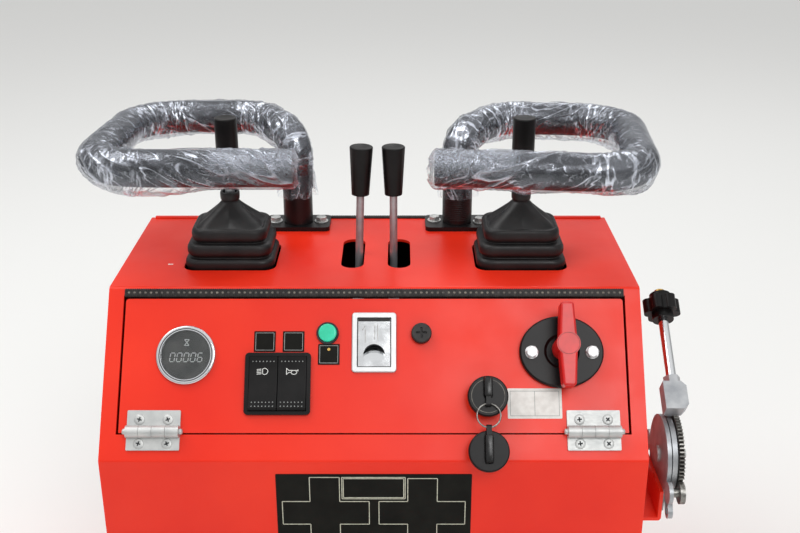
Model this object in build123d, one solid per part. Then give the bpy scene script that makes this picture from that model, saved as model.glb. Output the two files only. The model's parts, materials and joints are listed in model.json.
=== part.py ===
from build123d import *

import os
from math import atan2, cos, degrees, radians, sin

os.makedirs("parts", exist_ok=True)

# Control console of a stand-on compact loader: a folded sheet cowl with a hinged instrument
# lid, two drive sticks in bellows boots, two auxiliary levers, two foam covered grab loops
# and a ratchet brake lever on the right side.
# X runs to the operator's right, Y forward to the machine, Z up, in millimetres and degrees.
# The origin is the centre of the four base bolts, on the underside of the base flanges.

# Cowl
cowl_width = 540.0
cowl_sheet = 3.0
face_height = 319.0
panel_run = 104.0
panel_rise = 141.0
deck_depth = 208.0
fold_radius = 5.0
base_flange = 40.0
back_flange = 30.0
base_bolt_hole = 11.0
base_bolt_spacing_x = 494.0
base_bolt_spacing_y = 240.0
back_bolt_hole = 9.0
back_bolt_low_z = 80.0
back_bolt_spacing_z = 300.0
cover_sheet = 2.0
cover_gap = 1.5
cover_bolt_hole = 12.0

cowl_depth = panel_run + deck_depth
front_y = -cowl_depth / 2
back_y = cowl_depth / 2
deck_z = face_height + panel_rise
half_width = cowl_width / 2
inner_half_width = half_width - cowl_sheet
panel_slope = degrees(atan2(panel_rise, panel_run))
panel_plane = Plane(
    origin=(0, front_y, face_height),
    x_dir=(1, 0, 0),
    z_dir=(0, -panel_rise, panel_run),
)

# Lid and its opening, along the panel's slope from the lower fold
opening_low = 26.2
opening_high = 166.5
lid_gap_side = 2.5
lid_gap_low = 1.5
lid_gap_high = 3.5
lid_half_width = 252.0
lid_return = 12.0
lid_corner = 3.0
trim_wall = 2.0
trim_cover = 6.5
trim_inner_cover = 4.0

lid_low = opening_low + lid_gap_low
lid_high = opening_high - lid_gap_high
opening_half_width = lid_half_width + lid_gap_side

# Butt hinges
hinge_from_edge = 35.0
hinge_x = lid_half_width - hinge_from_edge
hinge_width = 52.5
hinge_leaf = 2.5
hinge_corner = 1.0
hinge_low = 10.5
hinge_high = 49.8
barrel_radius = 6.0
barrel_lift = 0.3
hinge_pin_radius = 3.0
hinge_pin_end = 3.5
knuckle_count = 4
knuckle_gap = 0.3
running_gap = 0.3
seat_gap = 0.1

hinge_s = (opening_low + lid_low) / 2 + 1.5
hinge_h = barrel_radius + barrel_lift

# Instruments on the lid, each placed by X, or by its distance from the lid's nearer end, and
# by its distance up the slope
meter_from_edge, meter_s = 63.6, 105.0
meter_x = meter_from_edge - lid_half_width
meter_radius = 30.0
meter_barrel = 26.0
meter_rim = 4.5
meter_depth = 36.0
switch_x, switch_s = -95.8, 76.2
switch_width, switch_height = 65.6, 62.0
switch_rim = 4.0
switch_lip = 2.0
switch_depth = 30.0
rocker_width, rocker_height = 28.0, 54.0
rocker_split = 0.8
rocker_foot, rocker_middle, rocker_head = 8.0, 4.4, 5.4
lamp_x, lamp_s = -46.8, 127.2
lamp_radius = 10.0
lamp_lens_radius = 7.0
lamp_bezel_rim = 2.5
lamp_cap_radius, lamp_cap = 9.2, 3.8
lamp_depth = 25.0
latch_x, latch_s = 0.0, 118.0
latch_width, latch_height = 45.0, 61.0
latch_rim = 3.2
latch_corner = 3.5
latch_lip = 3.0
latch_wall = 2.2
latch_depth = 15.0
latch_paddle_gap = 0.3
latch_paddle_top = 0.4
latch_paddle_thickness = 2.4
latch_scoop_radius = 10.8
latch_scoop_top = -1.6
latch_scoop_length = 16.5
latch_scoop_drop = 7.0
fuse_x, fuse_s = 47.5, 126.8
fuse_radius = 10.2
fuse_height = 8.0
fuse_depth = 24.0
fuse_slot_length, fuse_slot_width, fuse_slot_depth = 11.0, 2.2, 2.5
isolator_from_edge, isolator_s = 64.5, 108.0
isolator_x = lid_half_width - isolator_from_edge
isolator_width, isolator_height = 84.0, 72.0
isolator_thickness = 7.0
isolator_dish_low, isolator_dish_high = 15.0, 19.0
isolator_dish_depth = 2.5
isolator_body_radius = 22.0
isolator_body_depth = 40.0
handle_x, handle_s = isolator_x + 2.0, isolator_s + 2.5
handle_length = 83.0
handle_tip = 13.0
handle_hub_radius = 11.5
handle_low, handle_high = 24.0, 41.0
ignition_x, ignition_s = 112.2, 62.0
ignition_nut_radius = 14.0
ignition_nut = 5.0
ignition_body_radius = 12.0
ignition_depth = 45.0

# Keys and their ring
key_radius = 20.0
key_thickness = 7.0
key_lift = 12.0
key_ridge_width = 5.0
key_ridge_height = 6.0
key_shaft_radius = 4.0
key_eye_radius = 2.4
key_eye_height = 3.4
key_ring_radius = 11.5
key_ring_wire = 0.8
spare_eye_reach = 21.2
ignition_eye_reach = -6.7
spare_blade = 17.0

# Drive sticks
stick_x = 155.0
stick_y_from_front = 188.0
stick_pivot_below_deck = 70.0
stick_rod_radius = 5.0
stick_grip_radius = 11.75
stick_grip_length = 65.0
stick_top = 155.0
grip_rim = 1.5
grip_dish_radius, grip_dish = 8.5, 0.8
boot_hole_x, boot_hole_y = 98.0, 80.0
boot_wall = 2.0
boot_flange = 2.5
boot_flange_margin = 10.0
boot_corner = 13.0
boot_neck_radius = 8.0
boot_neck_low, boot_neck_high = 68.0, 78.0

stick_y = front_y + stick_y_from_front
stick_pivot_z = deck_z - stick_pivot_below_deck

# Gimbals and the valves that carry them
ear_inner = 16.0
ear_thickness = 6.0
ear_half_depth = 9.0
trunnion_radius = 4.0
cross_block_x, cross_block_y, cross_block_z = 20.0, 12.0, 14.0
cross_pin_radius = 3.0
fork_gap = 1.0
fork_cheek = 5.0
fork_half_width = 6.0
fork_rise = 16.0
fork_bridge = 10.0
fork_drop = 7.0
valve_top_below_pivot = 22.0
valve_head_x, valve_head_y = 52.0, 44.0
valve_flange_size = 72.0
valve_flange_thickness = 6.0
valve_body_radius = 28.0
valve_body_drop = 64.0
valve_port_radius = 8.0
valve_port_length = 12.0
valve_port_offset = 13.0

# Bridge under the deck
bridge_z = deck_z - 130.0
bridge_plate = 4.0
bridge_front_from_front = 135.0
bridge_back_from_back = 12.0
bridge_lip = 20.0
bridge_tab = 30.0
bridge_hole_gap = 2.0

# Auxiliary levers: name, place across, and lean to the right in degrees
aux_levers = [("left", -20.5, 1.8), ("right", 19.0, 0.0)]
aux_slot_x = 25.0
aux_y_from_front = 197.0
aux_slot_width = 24.5
aux_slot_front, aux_slot_back = 155.0, 240.0
aux_rod_radius = 4.2
aux_hub_radius = 10.0
aux_hub_width = 12.0
aux_shaft_radius = 5.0
aux_pivot_below_deck = 60.0
aux_grip_low, aux_grip_high = 68.5, 121.5
aux_grip_low_radius, aux_grip_high_radius = 9.5, 12.5
aux_ear_thickness = 5.0
aux_ear_spacing = 40.0
aux_ear_half_depth = 9.0
aux_valve_half_x = 46.0
aux_valve_front, aux_valve_back = 150.0, 250.0
aux_valve_height = 41.0
aux_port_x = 22.0

aux_y = front_y + aux_y_from_front
aux_pivot_z = deck_z - aux_pivot_below_deck

# Grab loops, as left-hand sizes; the heights are above the deck
post_x = 92.5
post_from_back = 26.0
post_flange_x, post_flange_y, post_flange_z = 74.0, 43.0, 5.0
post_bolt_spacing = 53.0
sleeve_radius = 16.85
sleeve_height = 44.0
loop_tube_radius = 12.5
loop_tube_wall = 2.5
foam_radius = 18.5
foam_gap = 0.25
foam_end = 4.0
loop_shoulder_x, loop_shoulder_past_post = 138.0, 62.0
loop_outer_x = 283.0
loop_near_from_front = 112.0
loop_end_x = 79.0
loop_post_rise, loop_far_rise, loop_near_rise = 108.0, 114.0, 123.5
loop_bend_radii = [30.0, 44.0, 62.0, 52.0]
right_loop_turn = -6.0

post_y = back_y - post_from_back

# Parking brake lever, on a bracket on the right wall
brake_pivot_from_front = 42.0
brake_pivot_below_fold = 17.0
brake_bracket_front, brake_bracket_back = 8.0, 98.0
brake_bracket_below, brake_bracket_above = 58.0, 24.0
brake_bracket_sheet = 3.5
brake_bracket_reach = 20.0
brake_mount_plate = 4.0
brake_mount_radius = 40.0
brake_mount_half_depth = 25.0
brake_mount_below = 52.0
brake_arm_plate = 5.0
brake_arm_gap = 1.0
brake_disc_radius = 40.0
brake_tail_reach = 58.0
brake_tail_turn = 199.0
brake_tail_radius = 7.0
brake_tail_bore = 8.0
brake_sector_plate = 5.0
brake_sector_radius = 41.0
brake_tooth_height = 4.0
brake_tooth_count = 26
brake_tooth_pitch = 5.0
brake_tooth_start = 55.0
brake_spacer_radius = 4.5
brake_spacer_reach = 49.0
brake_spacer_angles = [200.0, 345.0]
brake_lug_radius = 11.0
brake_bolt_radius = 5.0
brake_bolt_head_radius = 8.5
brake_bolt_head = 7.0
brake_bolt_thread = 4.0
brake_angle = 36.0
brake_yoke_rise = 62.0
brake_yoke_start, brake_yoke_end = -13.0, 17.0
brake_yoke_half_width = 9.0
brake_yoke_x, brake_yoke_shift_x = 23.0, 3.0
brake_yoke_chamfer = 5.0
brake_neck_length = 20.0
brake_nut_radius = 8.5
brake_nut_length = 8.0
brake_rod_radius = 5.0
brake_knob_start, brake_knob_end = 91.0, 121.0
brake_knob_radius = 19.0
brake_knob_collar_radius = 11.0
brake_knob_collar = 7.0
brake_knob_lobes = 6
brake_lobe_radius = 6.0
brake_button_radius = 6.0
brake_button_length = 5.0

brake_pivot_y = front_y + brake_pivot_from_front
brake_pivot_z = face_height - brake_pivot_below_fold
brake_plate_x = half_width + brake_bracket_reach
brake_arm_x = brake_plate_x + brake_mount_plate + brake_arm_gap
brake_sector_x = brake_arm_x + brake_arm_plate + brake_arm_gap

# A cutter runs past the faces that it opens by this much
overrun = 1.0

on_base = (Align.CENTER, Align.CENTER, Align.MIN)
under_base = (Align.CENTER, Align.CENTER, Align.MAX)
sides = [("left", -1), ("right", 1)]


def write(name, shape):
    """Store one node as a STEP file of its own."""
    export_step(shape, f"parts/{name}.step")


def block(x, y, z):
    """A box between two limits on each axis."""
    centre = Pos(sum(x) / 2, sum(y) / 2, sum(z) / 2)
    return centre * Box(x[1] - x[0], y[1] - y[0], z[1] - z[0])


def rod(start, direction, radius, length):
    """A round bar that runs from a point along a direction."""
    return Plane(origin=start, z_dir=direction).location * Cylinder(radius, length, align=on_base)


def on_panel(x, s, h=0.0):
    """A place on the sloped panel: across, up the slope, and out from its face."""
    return panel_plane.location * Pos(x, s, h)


def rounded_plate(size_x, size_y, corner, low, high):
    """A flat plate with rounded corners, between two heights."""
    return Pos(0, 0, low) * extrude(RectangleRounded(size_x, size_y, corner), high - low)


def inward(angle):
    """The direction into the cowl from a wall that runs at an angle in the side view."""
    return sin(radians(angle)), -cos(radians(angle))


def side_corner(y, z, before, after, inset):
    """A fold of the side outline, moved inward by the same amount from both its walls."""
    before_y, before_z = inward(before)
    after_y, after_z = inward(after)
    scale = inset / (1 + before_y * after_y + before_z * after_z)
    return y + scale * (before_y + after_y), z + scale * (before_z + after_z)


def side_outline(inset, past_open_sides):
    """The side outline, inset by a sheet and run past the open back and bottom."""
    low_fold = side_corner(front_y, face_height, 90, panel_slope, inset)
    high_fold = side_corner(front_y + panel_run, deck_z, panel_slope, 0, inset)
    outline = Polyline(
        (front_y + inset, -past_open_sides),
        low_fold,
        high_fold,
        (back_y + past_open_sides, deck_z - inset),
        (back_y + past_open_sides, -past_open_sides),
        close=True,
    )
    face = Plane.YZ * make_face(outline)
    for fold in (low_fold, high_fold):
        corner = face.vertices().sort_by_distance((0, *fold))[0]
        face = fillet(corner, fold_radius - inset)
    return face


def base_flanges():
    """Flanges turned inward at the foot of the front and side walls."""
    plate = block((-half_width, half_width), (front_y, back_y), (0, cowl_sheet))
    middle = half_width - base_flange
    opening = block(
        (-middle, middle),
        (front_y + base_flange, back_y + overrun),
        (-overrun, cowl_sheet + overrun),
    )
    return plate - opening


def back_flanges():
    """Flanges turned inward at the back edge of both side walls, below the deck's edge trim."""
    top = deck_z - cowl_sheet - trim_wall - trim_cover
    outer = block((-half_width, half_width), (back_y - cowl_sheet, back_y), (0, top))
    middle = half_width - back_flange
    inner = block(
        (-middle, middle),
        (back_y - cowl_sheet - overrun, back_y + overrun),
        (-overrun, top + overrun),
    )
    return outer - inner


def deck_cutters():
    """Cutters for the two boot openings and the two lever slots in the deck."""
    depth = 4 * cowl_sheet
    low = deck_z - depth / 2
    cutters = []
    for _, side in sides:
        boot = rounded_plate(boot_hole_x, boot_hole_y, boot_corner, 0, depth)
        cutters.append(Pos(side * stick_x, stick_y, low) * boot)
        slot_length = aux_slot_back - aux_slot_front
        slot_y = front_y + (aux_slot_front + aux_slot_back) / 2
        slot = extrude(SlotOverall(slot_length, aux_slot_width, rotation=90), depth)
        cutters.append(Pos(side * aux_slot_x, slot_y, low) * slot)
    return cutters


def bolt_cutters():
    """Cutters for the base bolts and for the bolts of the back flanges."""
    cutters = []
    for _, side in sides:
        for end in (-1, 1):
            spot = Pos(side * base_bolt_spacing_x / 2, end * base_bolt_spacing_y / 2, 0)
            cutters.append(spot * Cylinder(base_bolt_hole / 2, 4 * cowl_sheet))
        hole_x = half_width - back_flange / 2 - cowl_sheet / 2
        for hole_z in (back_bolt_low_z, back_bolt_low_z + back_bolt_spacing_z):
            start = (side * hole_x, back_y - 2 * cowl_sheet, hole_z)
            cutters.append(rod(start, (0, 1, 0), back_bolt_hole / 2, 4 * cowl_sheet))
    return cutters


def cowl_shell():
    """The folded cowl: front face, sloped panel, deck and side walls, open behind and below."""
    outer = extrude(side_outline(0, 0), half_width, both=True)
    inner = extrude(side_outline(cowl_sheet, overrun), inner_half_width, both=True)
    shell = outer - inner + base_flanges() + back_flanges()
    opening = block(
        (-opening_half_width, opening_half_width),
        (opening_low, opening_high),
        (-2 * cowl_sheet, 2 * cowl_sheet),
    )
    return shell - [panel_plane.location * opening, *deck_cutters(), *bolt_cutters()]


def rear_cover():
    """The flat sheet that closes the back, held against the back flanges by their bolts."""
    top = deck_z - cowl_sheet - trim_wall - trim_cover
    back = back_y - cowl_sheet - seat_gap
    half = inner_half_width - cover_gap
    cover = block((-half, half), (back - cover_sheet, back), (cowl_sheet + cover_gap, top))
    for _, side in sides:
        hole_x = half_width - back_flange / 2 - cowl_sheet / 2
        for hole_z in (back_bolt_low_z, back_bolt_low_z + back_bolt_spacing_z):
            start = (side * hole_x, back - 2 * cover_sheet, hole_z)
            cover -= rod(start, (0, 1, 0), cover_bolt_hole / 2, 4 * cover_sheet)
    return cover


def lid_opening_trim():
    """Rubber edging clipped over the upper edge of the lid's opening."""
    half = opening_half_width - overrun
    outer = block(
        (-half, half),
        (opening_high - trim_wall, opening_high + trim_cover),
        (-cowl_sheet, trim_wall),
    )
    outer += block(
        (-half, half),
        (opening_high - trim_wall, opening_high + trim_inner_cover),
        (-cowl_sheet - trim_wall, 0),
    )
    slot = block(
        (-half - overrun, half + overrun),
        (opening_high, opening_high + trim_cover + overrun),
        (-cowl_sheet, 0),
    )
    return panel_plane.location * (outer - slot)


def deck_edge_trim():
    """Rubber edging clipped over the deck's back edge, clear of the loop flanges."""
    post_flange_back = post_y + post_flange_y / 2
    half = inner_half_width - 2 * overrun
    outer = block(
        (-half, half),
        (post_flange_back + overrun / 2, back_y + trim_wall),
        (deck_z - cowl_sheet - trim_wall, deck_z + trim_wall),
    )
    slot = block(
        (-half - overrun, half + overrun),
        (post_flange_back - overrun, back_y),
        (deck_z - cowl_sheet, deck_z),
    )
    return outer - slot


def hinge_knuckles(moving):
    """The knuckles of one leaf: every second one along the barrel, bored for the pin."""
    pitch = hinge_width / knuckle_count
    bore = hinge_pin_radius + (running_gap if moving else seat_gap)
    knuckles = []
    for index in range(1 if moving else 0, knuckle_count, 2):
        start = (index * pitch - hinge_width / 2 + knuckle_gap / 2, 0, 0)
        length = pitch - knuckle_gap
        tube = rod(start, (1, 0, 0), barrel_radius, length)
        knuckles.append((tube, rod(start, (1, 0, 0), bore, length), start[0], length))
    return knuckles


def hinge_leaf_solid(moving):
    """One leaf of a butt hinge about its own barrel, with relief round the other leaf's knuckles."""
    far = hinge_high - hinge_s if moving else hinge_s - hinge_low
    near = 0.0 if moving else hinge_s - opening_low
    direction = 1 if moving else -1
    ends = sorted((direction * near, direction * far))
    half = hinge_width / 2
    plate = block((-half, half), ends, (-hinge_h, hinge_leaf - hinge_h))
    far_y = direction * far
    corners = [e for e in plate.edges().filter_by(Axis.Z) if abs(e.center().Y - far_y) < overrun]
    plate = fillet(corners, hinge_corner)
    relief = barrel_radius + 2 * running_gap
    for _, _, start, length in hinge_knuckles(not moving):
        cut_start = (start - knuckle_gap, 0, 0)
        plate -= rod(cut_start, (1, 0, 0), relief, length + 2 * knuckle_gap)
    for tube, _, _, _ in hinge_knuckles(moving):
        plate += tube
    for _, bore, _, _ in hinge_knuckles(moving):
        plate -= bore
    return plate


def hinge_pin():
    """A hinge pin with rounded ends that stand out of the barrel."""
    length = hinge_width + 2 * hinge_pin_end
    pin = rod((-length / 2, 0, 0), (1, 0, 0), hinge_pin_radius, length)
    return fillet(pin.edges().filter_by(GeomType.CIRCLE), hinge_pin_radius * 0.6)


def write_hinges():
    """Both butt hinges: fixed leaves on the cowl, moving leaves on the lid, and their pins."""
    pins = []
    for name, side in sides:
        place = on_panel(side * hinge_x, hinge_s, hinge_h)
        write(f"{name}_hinge_fixed_leaf", place * hinge_leaf_solid(False))
        write(f"{name}_hinge_lid_leaf", place * hinge_leaf_solid(True))
        pins.append(place * hinge_pin())
    write("hinge_pins", Compound(children=pins))


def lid_panel():
    """The lid's sheet with its returns and the holes for its instruments."""
    middle_s = (lid_low + lid_high) / 2
    lid_height = lid_high - lid_low
    sheet = Pos(0, middle_s, -cowl_sheet) * Box(
        2 * lid_half_width, lid_height, cowl_sheet, align=on_base
    )
    top_corners = [
        edge
        for edge in sheet.edges().filter_by(Axis.Z)
        if edge.center().Y > middle_s
    ]
    sheet = fillet(top_corners, lid_corner)
    return_low = -cowl_sheet - lid_return
    for _, side in sides:
        outer, inner = side * lid_half_width, side * (lid_half_width - cowl_sheet)
        across = sorted((outer, inner))
        sheet += block(across, (lid_low, lid_high - 2 * lid_corner), (return_low, 0))
    sheet += block(
        (-lid_half_width, lid_half_width),
        (lid_low, lid_low + cowl_sheet),
        (return_low, 0),
    )
    round_holes = [
        # X, distance up the slope, radius
        (meter_x, meter_s, meter_barrel),
        (lamp_x, lamp_s, lamp_lens_radius + boot_wall),
        (fuse_x, fuse_s, fuse_radius * 0.7),
        (isolator_x, isolator_s, isolator_body_radius),
        (ignition_x, ignition_s, ignition_body_radius),
    ]
    for x, s, radius in round_holes:
        sheet -= Pos(x, s, 0) * Cylinder(radius + seat_gap, 4 * cowl_sheet)
    square_holes = [
        # X, distance up the slope, width, height
        (switch_x, switch_s, switch_width - 2 * switch_lip, switch_height - 2 * switch_lip),
        (latch_x, latch_s, latch_width - 2 * latch_lip, latch_height - 2 * latch_lip),
    ]
    for x, s, width, height in square_holes:
        hole = Box(width + 2 * seat_gap, height + 2 * seat_gap, 4 * cowl_sheet)
        sheet -= Pos(x, s, 0) * hole
    return panel_plane.location * sheet


def hour_meter():
    """The round meter's case, its dial and its glass."""
    barrel = Pos(0, 0, -meter_depth) * Cylinder(meter_barrel, meter_depth, align=on_base)
    rim = Cylinder(meter_radius, meter_rim, align=on_base)
    rim = fillet(rim.edges().filter_by(GeomType.CIRCLE).sort_by(Axis.Z)[-1], 2)
    well_radius = meter_barrel - 1
    well = Pos(0, 0, -2) * Cylinder(well_radius, meter_rim + 3, align=on_base)
    case = barrel + rim - well
    for x in (-9, 9):
        case += Pos(x, 0, -meter_depth) * Cylinder(2.5, 9, align=under_base)
    disc_radius = well_radius - seat_gap
    dial = Pos(0, 0, -2) * Cylinder(disc_radius, 1.5, align=on_base)
    lens = Pos(0, 0, meter_rim - 3) * Cylinder(disc_radius, 2, align=on_base)
    place = on_panel(meter_x, meter_s)
    write("hour_meter_case", place * case)
    write("hour_meter_dial", place * dial)
    write("hour_meter_lens", place * lens)


def rocker():
    """A rocker cap with a hollowed face, tipped so that its lower end stands up."""
    half = rocker_height / 2
    sides_and_back = Polyline(
        (half, rocker_head), (half, -2), (-half, -2), (-half, rocker_foot - 1), (2 - half, rocker_foot)
    )
    hollow = ThreePointArc((2 - half, rocker_foot), (0, rocker_middle), (half, rocker_head))
    side_face = Plane.YZ * make_face([*sides_and_back.edges(), hollow])
    return extrude(side_face, rocker_width / 2, both=True)


def switch_group():
    """The twin switch frame with its housing, and the two rocker caps."""
    frame = rounded_plate(switch_width, switch_height, 4, 0, switch_rim)
    housing = rounded_plate(
        switch_width - 2 * switch_lip, switch_height - 2 * switch_lip, 2, -switch_depth, 0
    )
    window = Box(
        2 * rocker_width + rocker_split + 1, rocker_height + 1, switch_rim + 4, align=on_base
    )
    frame = frame + housing - Pos(0, 0, -3) * window
    for column in (-1, 1):
        for row in (-1, 1):
            stem = Box(12, 1, 8, align=under_base)
            frame += Pos(column * 14, row * 12, -switch_depth) * stem
    place = on_panel(switch_x, switch_s)
    write("switch_frame", place * frame)
    shift = (rocker_width + rocker_split) / 2
    write("lights_rocker", place * Pos(-shift, 0, 0) * rocker())
    write("horn_rocker", place * Pos(shift, 0, 0) * rocker())


def pilot_lamp():
    """The charge lamp: bezel with its body, and a domed lens."""
    bezel = Cylinder(lamp_radius, lamp_bezel_rim, align=on_base)
    bezel = fillet(bezel.edges().filter_by(GeomType.CIRCLE).sort_by(Axis.Z)[-1], 0.8)
    body = Pos(0, 0, -lamp_depth) * Cylinder(
        lamp_lens_radius + boot_wall, lamp_depth, align=on_base
    )
    bezel = bezel + body - Pos(0, 0, -2) * Cylinder(lamp_lens_radius, 8, align=on_base)
    lens = Cylinder(lamp_cap_radius, lamp_cap, align=on_base)
    lens = fillet(lens.edges().filter_by(GeomType.CIRCLE).sort_by(Axis.Z)[-1], 1.6)
    lens += Cylinder(lamp_lens_radius - seat_gap, lamp_bezel_rim + 2, align=under_base)
    lens = Pos(0, 0, lamp_bezel_rim + seat_gap) * lens
    place = on_panel(lamp_x, lamp_s)
    write("pilot_lamp_bezel", place * bezel)
    write("pilot_lamp_lens", place * lens)


def latch():
    """The flush latch: rimmed cup with its housing and bolt, and a paddle with a finger scoop."""
    rim = rounded_plate(latch_width, latch_height, latch_corner, 0, latch_rim)
    rim = fillet(rim.edges().group_by(Axis.Z)[-1], 1.2)
    cup_width, cup_height = latch_width - 2 * latch_lip, latch_height - 2 * latch_lip
    cup = rounded_plate(cup_width, cup_height, 2, -latch_depth, 0)
    well_width, well_height = cup_width - 2 * latch_wall, cup_height - 2 * latch_wall
    well = rounded_plate(well_width, well_height, 1, -latch_depth + 2, latch_rim + 1)
    frame = rim + cup - well
    bolt_top = lid_high - latch_s - 2
    frame += block((-8, 8), (cup_height / 2 - 8, bolt_top), (-latch_depth, -latch_depth + 5))
    half_thickness = latch_paddle_thickness / 2
    paddle_width = well_width - 2 * latch_paddle_gap
    paddle_height = well_height - 2 * latch_paddle_gap
    paddle = rounded_plate(paddle_width, paddle_height, 1, -half_thickness, half_thickness)
    arch_y = latch_scoop_top - latch_scoop_radius
    scoop_end = latch_scoop_top - latch_scoop_length
    arch = Pos(0, arch_y) * Circle(latch_scoop_radius)
    arch &= Pos(0, latch_scoop_top) * Rectangle(
        2 * latch_scoop_radius, 2 * latch_scoop_length
    )
    shaft = Pos(0, 0, -latch_scoop_drop - latch_paddle_thickness) * extrude(arch, latch_depth)
    ramp = Polyline(
        (scoop_end, half_thickness),
        (latch_scoop_top, -latch_scoop_drop),
        (latch_scoop_top, -latch_scoop_drop - latch_paddle_thickness),
        (scoop_end, -half_thickness),
        close=True,
    )
    scoop = extrude(Plane.YZ * make_face(ramp), latch_scoop_radius, both=True)
    paddle = paddle - shaft + (scoop & shaft)
    paddle += Pos(0, cup_height / 2 - 7, -6) * Box(cup_width - 8, 5, 5, align=on_base)
    paddle = Pos(0, 0, latch_paddle_top - half_thickness) * paddle
    place = on_panel(latch_x, latch_s)
    write("latch_frame", place * frame)
    write("latch_paddle", place * paddle)


def fuse_holder():
    """A screw cap with a cross recess, over its holder's body."""
    cap = Cylinder(fuse_radius, fuse_height, align=on_base)
    cap = fillet(cap.edges().filter_by(GeomType.CIRCLE).sort_by(Axis.Z)[-1], 1.5)
    body = Pos(0, 0, -fuse_depth) * Cylinder(fuse_radius * 0.7, fuse_depth, align=on_base)
    for angle in (0, 90):
        slot = Box(fuse_slot_length, fuse_slot_width, fuse_height, align=on_base)
        cap -= Pos(0, 0, fuse_height - fuse_slot_depth) * Rot(0, 0, angle) * slot
    write("fuse_holder", on_panel(fuse_x, fuse_s) * (cap + body))


def battery_isolator():
    """The battery switch: oval base dished round its hub, and the bow shaped key handle."""
    base = extrude(Ellipse(isolator_width / 2, isolator_height / 2), isolator_thickness)
    base = chamfer(base.edges().group_by(Axis.Z)[-1], 1.5)
    seat = isolator_thickness - isolator_dish_depth
    base -= Pos(0, 0, seat) * Cone(
        isolator_dish_low, isolator_dish_high, isolator_dish_depth + overrun, align=on_base
    )
    base += Pos(0, 0, -isolator_body_depth) * Cylinder(
        isolator_body_radius, isolator_body_depth, align=on_base
    )
    for x in (-11, 11):
        base += Pos(x, 0, -isolator_body_depth) * Cylinder(4, 14, align=under_base)
    write("isolator_base", on_panel(isolator_x, isolator_s) * base)

    hub = Pos(0, 0, seat) * Cylinder(handle_hub_radius, handle_high - seat, align=on_base)
    half, tip = handle_length / 2, handle_tip / 2
    waist = handle_hub_radius - 2.5
    bow = Polyline(
        (-tip, -half), (tip, -half), (waist, 0), (tip, half), (-tip, half), (-waist, 0), close=True
    )
    wings = extrude(make_face(bow), handle_high - handle_low)
    wings = fillet(wings.edges().filter_by(Axis.Z), 3.5)
    wings = fillet(wings.edges().group_by(Axis.Z)[-1], 2.5)
    handle = hub + Pos(0, 0, handle_low) * wings
    write("isolator_key", on_panel(handle_x, handle_s) * handle)


def key(eye_reach, ridge_low, ridge_high, shaft_length):
    """A round capped key: cap, grip ridge with an eye for the ring, and shaft behind."""
    cap = Cylinder(key_radius, key_thickness, align=on_base)
    cap = fillet(cap.edges().filter_by(GeomType.CIRCLE).sort_by(Axis.Z)[-1], 1.5)
    half = key_ridge_width / 2
    ridge = block((-half, half), (ridge_low, ridge_high), (2, key_thickness + key_ridge_height))
    ridge = fillet(ridge.edges().filter_by(Axis.X).group_by(Axis.Z)[-1], 2)
    shaft = Cylinder(key_shaft_radius, shaft_length, align=under_base)
    eye_start = (-key_ridge_width, eye_reach, key_thickness + key_eye_height)
    eye = rod(eye_start, (1, 0, 0), key_eye_radius, 2 * key_ridge_width)
    return cap + ridge + shaft - eye


def keys():
    """The ignition switch, the key in it, and the ring with the spare key that hangs from it."""
    nut = Cylinder(ignition_nut_radius, ignition_nut, align=on_base)
    body = Pos(0, 0, -ignition_depth) * Cylinder(
        ignition_body_radius, ignition_depth, align=on_base
    )
    socket = Pos(0, 0, -key_lift) * Cylinder(
        key_shaft_radius + seat_gap, key_lift + ignition_nut + 1, align=on_base
    )
    write("ignition_switch", on_panel(ignition_x, ignition_s) * (nut + body - socket))

    ignition = key(ignition_eye_reach, ignition_eye_reach - 4, key_radius - 1, 2 * key_lift)
    write("ignition_key", on_panel(ignition_x, ignition_s, key_lift) * ignition)

    eye_h = key_lift + key_thickness + key_eye_height
    slack = key_eye_radius - key_ring_wire - running_gap
    ring_s = ignition_s + ignition_eye_reach - slack - key_ring_radius
    ring = on_panel(ignition_x, ring_s, eye_h) * Torus(key_ring_radius, key_ring_wire)
    write("key_ring", ring)

    spare_s = ring_s - key_ring_radius - slack - spare_eye_reach
    spare = key(spare_eye_reach, -11, spare_eye_reach + 4, spare_blade - key_lift / 2)
    write("spare_key", on_panel(ignition_x, spare_s, key_lift) * spare)


def control_bridge():
    """The folded shelf under the deck that carries the valves, from side wall to side wall."""
    front, back = front_y + bridge_front_from_front, back_y - bridge_back_from_back
    across = (-inner_half_width, inner_half_width)
    shelf = block(across, (front, back), (bridge_z, bridge_z + bridge_plate))
    for edge in ((front, front + bridge_plate), (back - bridge_plate, back)):
        shelf += block(across, edge, (bridge_z - bridge_lip, bridge_z + bridge_plate))
    for _, side in sides:
        tab_x = sorted((side * inner_half_width, side * (inner_half_width - bridge_plate)))
        shelf += block(tab_x, (front, back), (bridge_z, bridge_z + bridge_tab))
        hole = Cylinder(valve_body_radius + bridge_hole_gap, 4 * bridge_plate)
        shelf -= Pos(side * stick_x, stick_y, bridge_z) * hole
    return shelf


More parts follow.
